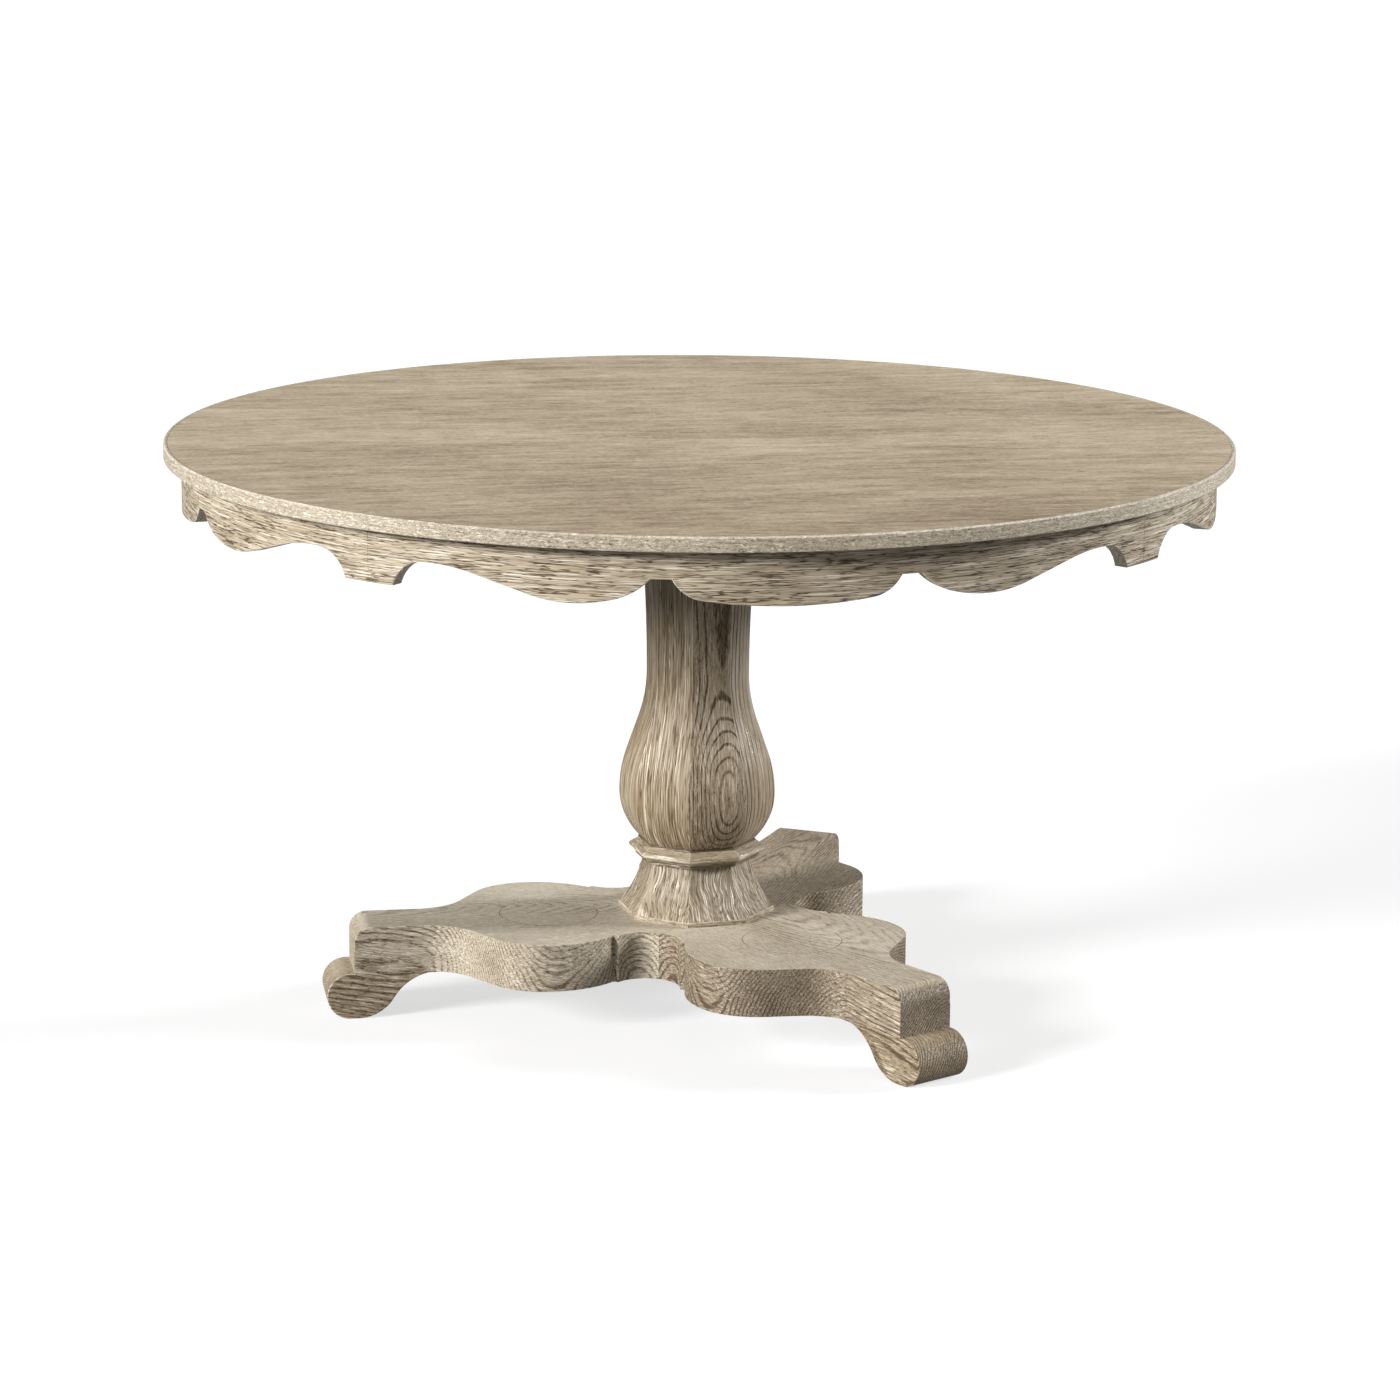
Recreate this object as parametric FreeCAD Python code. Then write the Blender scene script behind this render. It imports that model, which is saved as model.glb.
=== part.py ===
import FreeCAD, Part
import math
import os

V = FreeCAD.Vector
UP = V(0, 0, 1)
ORIGIN = V(0, 0, 0)

os.makedirs("parts", exist_ok=True)

# A round dining table on a three-legged pedestal.  Millimetres, +Z up.
# The origin is on the floor, on the column's axis.  The first leg points along -X.

# Tabletop: a veneered round board with a solid edge lipping
TABLE_HEIGHT = 751.3
TOP_RADIUS = 686.0
TOP_THICKNESS = 19.0
VENEER = 1.0
LIPPING_WIDTH = 5.0
LIPPING_BEVEL = 2.0
UNDERSIDE = TABLE_HEIGHT - TOP_THICKNESS
BOARD_RADIUS = TOP_RADIUS - LIPPING_WIDTH

# Apron: a scalloped ring, set in from the edge of the top
APRON_RADIUS = 663.5
APRON_THICKNESS = 18.5
LOBE_BOTTOM = 664.8
NOTCH_TOP = 696.5
BRACKET_BOTTOM = 665.8
CREST = 698.5

# Frame under the top
FRAME_DEPTH = 28.0
FRAME_BOTTOM = UNDERSIDE - FRAME_DEPTH
HEAD_PLATE_FLAT = 170.0
BEARER_OFFSET = 235.0
BEARER_WIDTH = 60.0
BEARER_LENGTH = 1080.0

# Base: three mitred legs, each of two boards on a scrolled foot
LEG_TOP = 122.2
LEG_SEAM = 91.3
FOOT_TOP = 60.35
LEG_END = 454.0
LEG_HALF_WIDTH = 41.5
LOBE_CENTRE = 210.0
LOBE_HALF_WIDTH = 155.5
SOFT_EDGE = 1.2
LEG_ANGLES = (180.0, 300.0, 60.0)

# Pedestal: an eight-sided coopered column over a collar and a flared plinth
SIDES = 8
FIRST_CORNER = 300.0
PLINTH_TOP = 195.0
PLINTH_TOP_CORNER = 70.5
PLINTH_FOOT_CORNER = 101.8
PLINTH_FLARE_TURN = 29.0
COLUMN_BOTTOM = 218.5
CORE_FLAT = 45.0
BORE_FLAT = 40.0
BULB_FLAT = 94.7
BULB_HEIGHT = 281.0
BULB_FOOT_FLAT = 69.8
NECK_FLAT = 62.0

# Fastenings
TIE_ROD_RADIUS = 8.0
ROD_HOLE_RADIUS = 9.0
BASE_PLATE_RADIUS = 115.0
BASE_PLATE_THICKNESS = 4.0
HEAD_BOLT_RADIUS = 4.0
HEAD_BOLT_CIRCLE = 130.0
SCREW_RADIUS = 2.5


def save(name, *pieces):
    shape = pieces[0] if len(pieces) == 1 else Part.makeCompound(list(pieces))
    shape.exportStep("parts/" + name + ".step")


def turned(shape, degrees):
    copy = shape.copy()
    copy.rotate(ORIGIN, UP, degrees)
    return copy


def polar(radius, degrees):
    angle = math.radians(degrees)
    return radius * math.cos(angle), radius * math.sin(angle)


def disc(radius, bottom, top, x=0.0, y=0.0):
    return Part.makeCylinder(radius, top - bottom, V(x, y, bottom))


def tube(outer, inner, bottom, top, x=0.0, y=0.0):
    return disc(outer, bottom, top, x, y).cut(disc(inner, bottom, top, x, y))


def block(x0, x1, y0, y1, z0, z1):
    return Part.makeBox(x1 - x0, y1 - y0, z1 - z0, V(x0, y0, z0))


def prism(sides, flat, bottom, top, first_corner, x=0.0, y=0.0):
    """A regular prism.  flat is the distance from its axis to a side."""
    corner_radius = flat / math.cos(math.pi / sides)
    corners = []
    for k in range(sides + 1):
        dx, dy = polar(corner_radius, first_corner + 360.0 / sides * k)
        corners.append(V(x + dx, y + dy, bottom))
    return Part.Face(Part.makePolygon(corners)).extrude(V(0, 0, top - bottom))


class Outline:
    """A closed outline of lines and tangent arcs, drawn like a pencil that moves and turns."""

    def __init__(self, x, y, heading=0.0):
        self.x, self.y, self.heading = x, y, heading
        self.start = (x, y)
        self.edges = []

    def to(self, x, y):
        self.edges.append(Part.makeLine(V(self.x, self.y, 0), V(x, y, 0)))
        self.heading = math.degrees(math.atan2(y - self.y, x - self.x))
        self.x, self.y = x, y
        return self

    def ahead(self, length):
        dx, dy = polar(length, self.heading)
        return self.to(self.x + dx, self.y + dy)

    def arc(self, radius, turn):
        """A tangent arc.  A positive turn goes left, a negative one right."""
        side = 1.0 if turn > 0 else -1.0
        to_centre = self.heading + 90.0 * side
        dx, dy = polar(radius, to_centre)
        centre_x, centre_y = self.x + dx, self.y + dy
        points = []
        for part in (0.5, 1.0):
            dx, dy = polar(radius, to_centre + 180.0 + turn * part)
            points.append(V(centre_x + dx, centre_y + dy, 0))
        self.edges.append(Part.Arc(V(self.x, self.y, 0), points[0], points[1]).toShape())
        self.x, self.y = points[1].x, points[1].y
        self.heading += turn
        return self

    def join(self, other):
        """Carry on along another outline, from its end back to its start."""
        self.to(other.x, other.y)
        self.edges.extend(other.edges)
        self.x, self.y = other.start
        return self

    def face(self):
        if math.hypot(self.x - self.start[0], self.y - self.start[1]) > 1e-6:
            self.to(*self.start)
        return Part.Face(Part.Wire(Part.__sortEdges__(self.edges)))


def upright(face, width):
    """Stand a face drawn as (distance out, height) on the XZ plane and give it a width along Y."""
    standing = face.copy()
    standing.rotate(ORIGIN, V(1, 0, 0), 90)
    standing.translate(V(0, width / 2.0, 0))
    return standing.extrude(V(0, -width, 0))


def rise_turn(radius, heading, rise):
    """How far an arc that starts at a heading must turn to climb by rise."""
    start = math.radians(heading)
    return math.degrees(math.acos(math.cos(start) - rise / radius)) - heading


# ---------------------------------------------------------------- tabletop

def tabletop():
    core_bottom = UNDERSIDE + VENEER
    core_top = TABLE_HEIGHT - VENEER
    core = disc(BOARD_RADIUS, core_bottom, core_top).cut(inserts_and_screws())
    backing = disc(BOARD_RADIUS, UNDERSIDE, core_bottom).cut(inserts_and_screws())
    save("top_core_board", core)
    save("top_face_veneer", disc(BOARD_RADIUS, core_top, TABLE_HEIGHT))
    save("top_backing_veneer", backing)

    section = Outline(BOARD_RADIUS, UNDERSIDE)
    section.to(TOP_RADIUS - LIPPING_BEVEL / 2, UNDERSIDE)
    section.to(TOP_RADIUS, UNDERSIDE + LIPPING_BEVEL / 2)
    section.to(TOP_RADIUS, TABLE_HEIGHT - LIPPING_BEVEL)
    section.to(TOP_RADIUS - LIPPING_BEVEL, TABLE_HEIGHT)
    section.to(BOARD_RADIUS, TABLE_HEIGHT)
    flat = section.face()
    flat.rotate(ORIGIN, V(1, 0, 0), 90)
    quarter = flat.revolve(ORIGIN, UP, 90)
    for k in range(4):
        save("top_edge_lipping_%d" % (k + 1), turned(quarter, 45 + 90 * k))


# ---------------------------------------------------------------- apron

CUT_DEPTH = 30.0
CUT_FLOOR = LOBE_BOTTOM - 20.0
FRONT_LOBE_RADIUS = 750.0
FRONT_LOBE_TURN = 7.7
FRONT_NOTCH_RADIUS = 48.0
SIDE_LOBE = 254.8
SIDE_LOBE_RADIUS = 205.0
SIDE_LOBE_TURN = 14.8
SIDE_NOTCH_RADIUS = 87.0
OGEE_SLOPE = 15.5
OGEE_LOBE_RADIUS = 190.0
OGEE_CREST_RADIUS = 232.0
OGEE_MIDDLE = 430.0
COVE_START = 440.0
COVE_RADIUS = 47.0
PAST_JOINT = 4.0
APRON_BLOCK_HALF = 45.0
APRON_BLOCK_DEPTH = 36.0


def notch_cut():
    """What is sawn away from the middle of the front lobe to the middle of the side lobe."""
    outline = Outline(0, LOBE_BOTTOM)
    outline.arc(FRONT_LOBE_RADIUS, FRONT_LOBE_TURN)
    rise = NOTCH_TOP - outline.y
    outline.arc(FRONT_NOTCH_RADIUS, rise_turn(FRONT_NOTCH_RADIUS, FRONT_LOBE_TURN, rise))
    notch_start = outline.x
    side = Outline(SIDE_LOBE, LOBE_BOTTOM, 180.0)
    side.arc(SIDE_LOBE_RADIUS, -SIDE_LOBE_TURN)
    rise = NOTCH_TOP - side.y
    side.arc(SIDE_NOTCH_RADIUS, -rise_turn(SIDE_NOTCH_RADIUS, SIDE_LOBE_TURN, rise))
    notch_end = side.x
    outline.join(side)
    outline.to(SIDE_LOBE, CUT_FLOOR)
    outline.to(0, CUT_FLOOR)
    return outline.face(), (notch_start + notch_end) / 2


def ogee_cut():
    """What is sawn away from the middle of the side lobe to the bracket at the joint."""
    bend = 1.0 - math.cos(math.radians(OGEE_SLOPE))
    straight_rise = CREST - LOBE_BOTTOM - (OGEE_LOBE_RADIUS + OGEE_CREST_RADIUS) * bend
    outline = Outline(SIDE_LOBE, LOBE_BOTTOM)
    outline.arc(OGEE_LOBE_RADIUS, OGEE_SLOPE)
    outline.ahead(straight_rise / math.sin(math.radians(OGEE_SLOPE)))
    outline.arc(OGEE_CREST_RADIUS, -OGEE_SLOPE)
    outline.to(COVE_START, CREST)
    outline.arc(COVE_RADIUS, -rise_turn(COVE_RADIUS, 0.0, CREST - BRACKET_BOTTOM))
    past_joint = math.radians(45.0) * APRON_RADIUS + PAST_JOINT
    outline.to(past_joint, BRACKET_BOTTOM)
    outline.to(past_joint, CUT_FLOOR)
    outline.to(SIDE_LOBE, CUT_FLOOR)
    return outline.face(), OGEE_MIDDLE


def radial_cutter(face, middle):
    """Stand a face drawn as (distance round the ring, height) across the ring at its middle."""
    cutter = face.copy()
    cutter.translate(V(-middle, 0, 0))
    cutter.rotate(ORIGIN, V(1, 0, 0), 90)
    cutter.rotate(ORIGIN, UP, 90)
    cutter.translate(V(APRON_RADIUS - APRON_THICKNESS - CUT_DEPTH, 0, 0))
    solid = cutter.extrude(V(APRON_THICKNESS + 2 * CUT_DEPTH, 0, 0))
    return turned(solid, math.degrees(middle / APRON_RADIUS))


def apron():
    inner = APRON_RADIUS - APRON_THICKNESS
    section = Outline(inner, LOBE_BOTTOM)
    section.to(APRON_RADIUS, LOBE_BOTTOM).to(APRON_RADIUS, UNDERSIDE).to(inner, UNDERSIDE)
    flat = section.face()
    flat.rotate(ORIGIN, V(1, 0, 0), 90)
    quarter = turned(flat.revolve(ORIGIN, UP, 90), -45)
    for face, middle in (notch_cut(), ogee_cut()):
        cutter = radial_cutter(face, middle)
        quarter = quarter.cut(cutter)
        quarter = quarter.cut(cutter.mirror(ORIGIN, V(0, 1, 0)))
    for k in range(4):
        save("apron_quarter_%d" % (k + 1), turned(quarter, 90 * k))

    half = APRON_BLOCK_HALF
    glue_block = block(inner - APRON_BLOCK_DEPTH, APRON_RADIUS, -half, half, FRAME_BOTTOM, UNDERSIDE)
    glue_block = glue_block.common(disc(inner, FRAME_BOTTOM, UNDERSIDE))
    save("apron_joint_blocks", *[turned(glue_block, 45 + 90 * k) for k in range(4)])


# ---------------------------------------------------------------- frame under the top

BOLT_WASHER_RADIUS = 10.0
BOLT_WASHER_THICKNESS = 1.6
BOLT_HEAD_FLAT = 6.5
BOLT_HEAD_HEIGHT = 5.3
BOLT_CLEARANCE = 0.5
BOLT_SHORT_OF_INSERT = 1.0
INSERT_RADIUS = 6.0
INSERT_LENGTH = 13.0
ROD_WASHER_RADIUS = 15.0
ROD_WASHER = 3.0
ROD_NUT = 13.0
ROD_NUT_FLAT = 12.0
ROD_END_BELOW = 5.0
ROD_END_ABOVE = 3.0
COUNTERBORE = 22.0
COUNTERBORE_RADIUS = 20.0
BEARER_END_BEVEL = 40.0
BEARER_SCREW_SHARES = (-0.42, 0.0, 0.42)
BEARER_SCREW_LENGTH = 40.0
SCREW_HEAD_RADIUS = 6.0
SCREW_HEAD_HEIGHT = 3.0


def head_bolt_places():
    return [polar(HEAD_BOLT_CIRCLE, FIRST_CORNER + 22.5 + 90 * k) for k in range(4)]


def bearer_screw_places():
    places = []
    for side in (-1, 1):
        for share in BEARER_SCREW_SHARES:
            places.append((side * BEARER_OFFSET, share * BEARER_LENGTH))
    return places


def pan_screw(x, y, seat, length):
    """A round-headed screw that points up, with its head under seat."""
    ball = Part.makeSphere(SCREW_HEAD_RADIUS, V(x, y, seat + SCREW_HEAD_HEIGHT))
    head = ball.common(disc(SCREW_HEAD_RADIUS, seat - SCREW_HEAD_HEIGHT, seat, x, y))
    return head.fuse(disc(SCREW_RADIUS, seat, seat + length, x, y)).removeSplitter()


def bearer_screws():
    return [pan_screw(x, y, FRAME_BOTTOM, BEARER_SCREW_LENGTH) for x, y in bearer_screw_places()]


def inserts_and_screws():
    """The room that threaded inserts and screws take in the underside of the top."""
    holes = [disc(INSERT_RADIUS, UNDERSIDE, UNDERSIDE + INSERT_LENGTH, x, y) for x, y in head_bolt_places()]
    return Part.makeCompound(holes + bearer_screws())


def top_frame():
    plate = prism(SIDES, HEAD_PLATE_FLAT, FRAME_BOTTOM, UNDERSIDE, FIRST_CORNER)
    plate = plate.cut(disc(ROD_HOLE_RADIUS, FRAME_BOTTOM, UNDERSIDE))
    plate = plate.cut(disc(COUNTERBORE_RADIUS, UNDERSIDE - COUNTERBORE, UNDERSIDE))
    for x, y in head_bolt_places():
        plate = plate.cut(disc(HEAD_BOLT_RADIUS + BOLT_CLEARANCE, FRAME_BOTTOM, UNDERSIDE, x, y))
    save("head_plate", plate)

    reach = BEARER_LENGTH / 2
    bevel_top = UNDERSIDE - FRAME_DEPTH / 2
    outline = Outline(-reach, UNDERSIDE)
    outline.to(-reach, bevel_top).to(BEARER_END_BEVEL - reach, FRAME_BOTTOM)
    outline.to(reach - BEARER_END_BEVEL, FRAME_BOTTOM).to(reach, bevel_top)
    outline.to(reach, UNDERSIDE)
    bearer = turned(upright(outline.face(), BEARER_WIDTH), 90)
    for number, side in enumerate((-1, 1), 1):
        placed = bearer.copy()
        placed.translate(V(side * BEARER_OFFSET, 0, 0))
        save("top_bearer_%d" % number, placed.cut(Part.makeCompound(bearer_screws())))
    save("bearer_screws", *bearer_screws())

    bolts, washers, inserts = [], [], []
    seat = FRAME_BOTTOM - BOLT_WASHER_THICKNESS
    for x, y in head_bolt_places():
        shank = disc(HEAD_BOLT_RADIUS, seat, UNDERSIDE + INSERT_LENGTH - BOLT_SHORT_OF_INSERT, x, y)
        head = prism(6, BOLT_HEAD_FLAT, seat - BOLT_HEAD_HEIGHT, seat, 0, x, y)
        bolts.append(shank.fuse(head).removeSplitter())
        washers.append(tube(BOLT_WASHER_RADIUS, HEAD_BOLT_RADIUS, seat, FRAME_BOTTOM, x, y))
        inserts.append(tube(INSERT_RADIUS, HEAD_BOLT_RADIUS, UNDERSIDE, UNDERSIDE + INSERT_LENGTH, x, y))
    save("head_bolts", *bolts)
    save("head_bolt_washers", *washers)
    save("threaded_inserts", *inserts)


# ---------------------------------------------------------------- pedestal

BULB_SLOPE = 17.9
UPPER_BULB_RADIUS = 179.0
NECK_CURVE_RADIUS = 200.0
NECK_FLARE_RADIUS = 2200.0
TOP_BLOCK_DEPTH = 70.0
BOTTOM_BLOCK_HEIGHT = 80.0
COLLAR_FLAT = 74.5
COLLAR_HOLLOW_TOP = PLINTH_TOP + 3.5
COLLAR_NOSE_START = 76.0
COLLAR_NOSE_HEADING = 80.0
COLLAR_NOSE_ARCS = ((6.0, -60.0), (4.2, 145.0))
COLLAR_FILLET_FLAT = 71.6
COLLAR_FILLET_HEIGHT = 2.4
STRIP_HEIGHT = 6.4
STRIP_FLAT = 95.4
STRIP_BEVEL = 1.4
REBATE_FLAT = 86.0

def corner_to_flat(radius):
    return radius * math.cos(math.pi / SIDES)


def stave(face):
    """One mitred eighth of the pedestal.  face is drawn as (distance out to the flat, height)."""
    half = 180.0 / SIDES
    reach = 2 * BULB_FLAT
    slice_points = [ORIGIN, V(*polar(reach, -half), 0), V(*polar(reach, half), 0), ORIGIN]
    wedge = Part.Face(Part.makePolygon(slice_points)).extrude(V(0, 0, TABLE_HEIGHT))
    return upright(face, reach).common(wedge)


def eight(piece):
    return [turned(piece, FIRST_CORNER + 360.0 / SIDES * (k + 0.5)) for k in range(SIDES)]


def column():
    """Coopered staves: a swelling bulb under a long neck that flares a little to the top."""
    foot_rise = BULB_HEIGHT - COLUMN_BOTTOM
    foot_swell = BULB_FLAT - BULB_FOOT_FLAT
    lower_bulb_radius = (foot_rise ** 2 + foot_swell ** 2) / (2 * foot_swell)
    lower_turn = math.degrees(math.asin(foot_rise / lower_bulb_radius))
    bend = 1.0 - math.cos(math.radians(BULB_SLOPE))
    straight = BULB_FLAT - NECK_FLAT - (UPPER_BULB_RADIUS + NECK_CURVE_RADIUS) * bend

    outline = Outline(BULB_FOOT_FLAT, COLUMN_BOTTOM, 90.0 - lower_turn)
    outline.arc(lower_bulb_radius, lower_turn)
    outline.arc(UPPER_BULB_RADIUS, BULB_SLOPE)
    outline.ahead(straight / math.sin(math.radians(BULB_SLOPE)))
    outline.arc(NECK_CURVE_RADIUS, -BULB_SLOPE)
    flare_turn = math.degrees(math.asin((FRAME_BOTTOM - outline.y) / NECK_FLARE_RADIUS))
    outline.arc(NECK_FLARE_RADIUS, -flare_turn)
    outline.to(BORE_FLAT, FRAME_BOTTOM).to(BORE_FLAT, COLUMN_BOTTOM)
    for number, piece in enumerate(eight(stave(outline.face())), 1):
        save("column_stave_%d" % number, piece)

    for name, bottom, top in (("column_top_block", FRAME_BOTTOM - TOP_BLOCK_DEPTH, FRAME_BOTTOM),
                              ("column_bottom_block", COLUMN_BOTTOM, COLUMN_BOTTOM + BOTTOM_BLOCK_HEIGHT)):
        plug = prism(SIDES, BORE_FLAT, bottom, top, FIRST_CORNER)
        save(name, plug.cut(disc(ROD_HOLE_RADIUS, bottom, top)))


def collar():
    """A mitred moulding: a thin top fillet, a sloping back, a round nose and a hollow under it."""
    outline = Outline(CORE_FLAT, COLUMN_BOTTOM)
    outline.to(CORE_FLAT, PLINTH_TOP).to(COLLAR_FLAT, PLINTH_TOP).to(COLLAR_FLAT, COLLAR_HOLLOW_TOP)
    outline.to(COLLAR_NOSE_START, COLLAR_HOLLOW_TOP)
    outline.heading = COLLAR_NOSE_HEADING
    for radius, turn in COLLAR_NOSE_ARCS:
        outline.arc(radius, turn)
    outline.to(COLLAR_FILLET_FLAT, COLUMN_BOTTOM - COLLAR_FILLET_HEIGHT)
    outline.to(COLLAR_FILLET_FLAT, COLUMN_BOTTOM)
    save("collar_mouldings", *eight(stave(outline.face())))


def plinth():
    """Mitred staves that flare out to the legs, wrapped round a solid core."""
    top_flat = corner_to_flat(PLINTH_TOP_CORNER)
    foot_flat = corner_to_flat(PLINTH_FOOT_CORNER)
    foot = LEG_TOP + STRIP_HEIGHT
    chord_x, chord_y = top_flat - foot_flat, PLINTH_TOP - foot
    radius = math.hypot(chord_x, chord_y) / (2 * math.sin(math.radians(PLINTH_FLARE_TURN / 2)))
    chord_heading = math.degrees(math.atan2(chord_y, chord_x))

    outline = Outline(foot_flat, foot, chord_heading + PLINTH_FLARE_TURN / 2)
    outline.arc(radius, -PLINTH_FLARE_TURN)
    outline.to(CORE_FLAT, PLINTH_TOP).to(CORE_FLAT, LEG_TOP).to(REBATE_FLAT, LEG_TOP).to(REBATE_FLAT, foot)
    for number, piece in enumerate(eight(stave(outline.face())), 1):
        save("plinth_stave_%d" % number, piece)

    strip = Outline(REBATE_FLAT, LEG_TOP)
    strip.to(STRIP_FLAT, LEG_TOP).to(STRIP_FLAT, foot - STRIP_BEVEL).to(STRIP_FLAT - STRIP_BEVEL, foot)
    strip.to(REBATE_FLAT, foot)
    save("plinth_fillet_strips", *eight(stave(strip.face())))

    core = prism(SIDES, CORE_FLAT, LEG_TOP, COLUMN_BOTTOM, FIRST_CORNER)
    save("plinth_core_block", core.cut(disc(ROD_HOLE_RADIUS, LEG_TOP, COLUMN_BOTTOM)))


# ---------------------------------------------------------------- base

WAIST_RADIUS = 70.0
WAIST_CENTRE = 365.0
LOBE_OUTER_RADIUS = 82.0
LOBE_INNER_RADIUS = 115.0
STEP_RADIAL = 167.0
COVE_DEPTH_RADIAL = 134.0
COVE_HALF_WIDTH = 42.5
END_ROUND = 22.0
PLUG_RADIUS = 64.5
PLUG_CENTRE = 196.0
PLUG_THICKNESS = 8.0
NOSE_RADIUS = FOOT_TOP / 2
NOSE_CENTRE = 459.5
FLOOR_START = 449.0
FOOT_OGEE_RUN = 107.0
TOE_SHARE = 0.43
TONGUE_START = 50.0
TONGUE_END = 115.0
TONGUE_HALF_WIDTH = 30.0
TONGUE_HALF_THICKNESS = 5.0
DOWEL_RADIUS = 6.0
DOWEL_PLACES = ((436.0, -22.0), (436.0, 22.0))
DOWEL_BOTTOM = 28.0
DOWEL_TOP = 84.0
PLATE_SCREW_PLACES = ((60.0, -30.0), (60.0, 30.0), (98.0, 0.0))
PLATE_SCREW_LENGTH = 26.0


def waist_turn():
    """How far the waist and the lobe turn, so that one straight line touches both arcs."""
    run = WAIST_CENTRE - LOBE_CENTRE
    rise = LEG_HALF_WIDTH + WAIST_RADIUS - (LOBE_HALF_WIDTH - LOBE_OUTER_RADIUS)
    angle = math.asin((WAIST_RADIUS + LOBE_OUTER_RADIUS) / math.hypot(run, rise)) - math.atan2(rise, run)
    length = run * math.cos(angle) - rise * math.sin(angle)
    return math.degrees(angle), length


def leg_plan():
    """Half of a leg seen from above, from its own middle line to the mitre at 60 degrees."""
    turn, straight = waist_turn()
    outline = Outline(0, 0)
    outline.to(LEG_END, 0).to(LEG_END, LEG_HALF_WIDTH).to(WAIST_CENTRE, LEG_HALF_WIDTH)
    outline.arc(WAIST_RADIUS, -turn)
    outline.ahead(straight)
    outline.arc(LOBE_OUTER_RADIUS, turn)

    # The lobe's inner arc stops on the step line, which is square to the mitre.
    mitre_x, mitre_y = polar(1.0, 60.0)
    centre_x, centre_y = LOBE_CENTRE, LOBE_HALF_WIDTH - LOBE_INNER_RADIUS
    short_of_step = STEP_RADIAL - (centre_x * mitre_x + centre_y * mitre_y)
    step_angle = 60.0 + math.degrees(math.acos(short_of_step / LOBE_INNER_RADIUS))
    outline.arc(LOBE_INNER_RADIUS, step_angle - 90.0)
    cove_x = STEP_RADIAL * mitre_x + COVE_HALF_WIDTH * mitre_y
    cove_y = STEP_RADIAL * mitre_y - COVE_HALF_WIDTH * mitre_x
    outline.to(cove_x, cove_y)

    depth = STEP_RADIAL - COVE_DEPTH_RADIAL
    radius = (COVE_HALF_WIDTH ** 2 + depth ** 2) / (2 * depth)
    cove_turn = math.degrees(math.acos((radius - depth) / radius))
    outline.heading = 150.0 + cove_turn
    outline.arc(radius, -cove_turn)
    return outline.face()


def leg_board(bottom, top):
    half = leg_plan().extrude(V(0, 0, top - bottom))
    half.translate(V(0, 0, bottom))
    board = half.fuse(half.mirror(ORIGIN, V(0, 1, 0))).removeSplitter()
    return board.cut(disc(ROD_HOLE_RADIUS, bottom, top))


def tongue():
    """A loose tongue across a mitre, half in each leg and half in each board."""
    wide, thick = TONGUE_HALF_WIDTH, TONGUE_HALF_THICKNESS
    return turned(block(TONGUE_START, TONGUE_END, -wide, wide, LEG_SEAM - thick, LEG_SEAM + thick), 60)


def foot_dowels():
    return [disc(DOWEL_RADIUS, DOWEL_BOTTOM, DOWEL_TOP, x, y) for x, y in DOWEL_PLACES]


def plate_screws():
    seat = FOOT_TOP - BASE_PLATE_THICKNESS
    return [pan_screw(x, y, seat, PLATE_SCREW_LENGTH) for x, y in PLATE_SCREW_PLACES]


def foot():
    half_turn = math.degrees(math.atan2(FOOT_TOP, FOOT_OGEE_RUN))
    total_radius = FOOT_OGEE_RUN / math.sin(math.radians(2 * half_turn))
    toe_radius = total_radius * TOE_SHARE
    outline = Outline(FLOOR_START - FOOT_OGEE_RUN, FOOT_TOP, 0.0)
    outline.arc(total_radius - toe_radius, -2 * half_turn)
    outline.arc(toe_radius, 2 * half_turn)
    outline.to(NOSE_CENTRE, 0)
    outline.arc(NOSE_RADIUS, 180)
    return upright(outline.face(), 2 * LEG_HALF_WIDTH)


def soften(board):
    """Ease the top arris of a leg's upper board, all along its straight sides, waist and lobe."""
    sides = []
    for edge in board.Edges:
        middle = edge.CenterOfMass
        if abs(middle.z - LEG_TOP) < 1e-3 and abs(abs(middle.y) - LEG_HALF_WIDTH) < 1e-3:
            sides.append(edge)
    return board.makeFillet(SOFT_EDGE, sides)


def base():
    profile = Outline(-LEG_END, LEG_SEAM)
    profile.to(LEG_END, LEG_SEAM).to(LEG_END, LEG_TOP - END_ROUND)
    profile.arc(END_ROUND, 90)
    profile.to(-LEG_END, LEG_TOP)
    upper = leg_board(LEG_SEAM, LEG_TOP).common(upright(profile.face(), 2 * LEG_END))
    upper = soften(upper)
    plug = disc(PLUG_RADIUS, LEG_TOP - PLUG_THICKNESS, LEG_TOP, PLUG_CENTRE)
    tongues = [tongue(), turned(tongue(), -120)]
    upper = upper.cut(Part.makeCompound([plug] + tongues))
    lower = leg_board(FOOT_TOP, LEG_SEAM)
    lower = lower.cut(Part.makeCompound(tongues + foot_dowels() + plate_screws()))
    scroll = foot().cut(Part.makeCompound(foot_dowels()))

    dowels, screws, loose_tongues = [], [], []
    for number, angle in enumerate(LEG_ANGLES, 1):
        save("leg_%d_upper_board" % number, turned(upper, angle))
        save("leg_%d_lower_board" % number, turned(lower, angle))
        save("leg_%d_foot" % number, turned(scroll, angle))
        save("leg_%d_round_plug" % number, turned(plug, angle))
        dowels.extend(turned(peg, angle) for peg in foot_dowels())
        screws.extend(turned(screw, angle) for screw in plate_screws())
        loose_tongues.append(turned(tongue(), angle))
    save("foot_dowels", *dowels)
    save("base_plate_screws", *screws)
    save("leg_tongues", *loose_tongues)

    plate_bottom = FOOT_TOP - BASE_PLATE_THICKNESS
    plate = tube(BASE_PLATE_RADIUS, ROD_HOLE_RADIUS, plate_bottom, FOOT_TOP)
    save("base_plate", plate.cut(Part.makeCompound(screws)))


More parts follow.
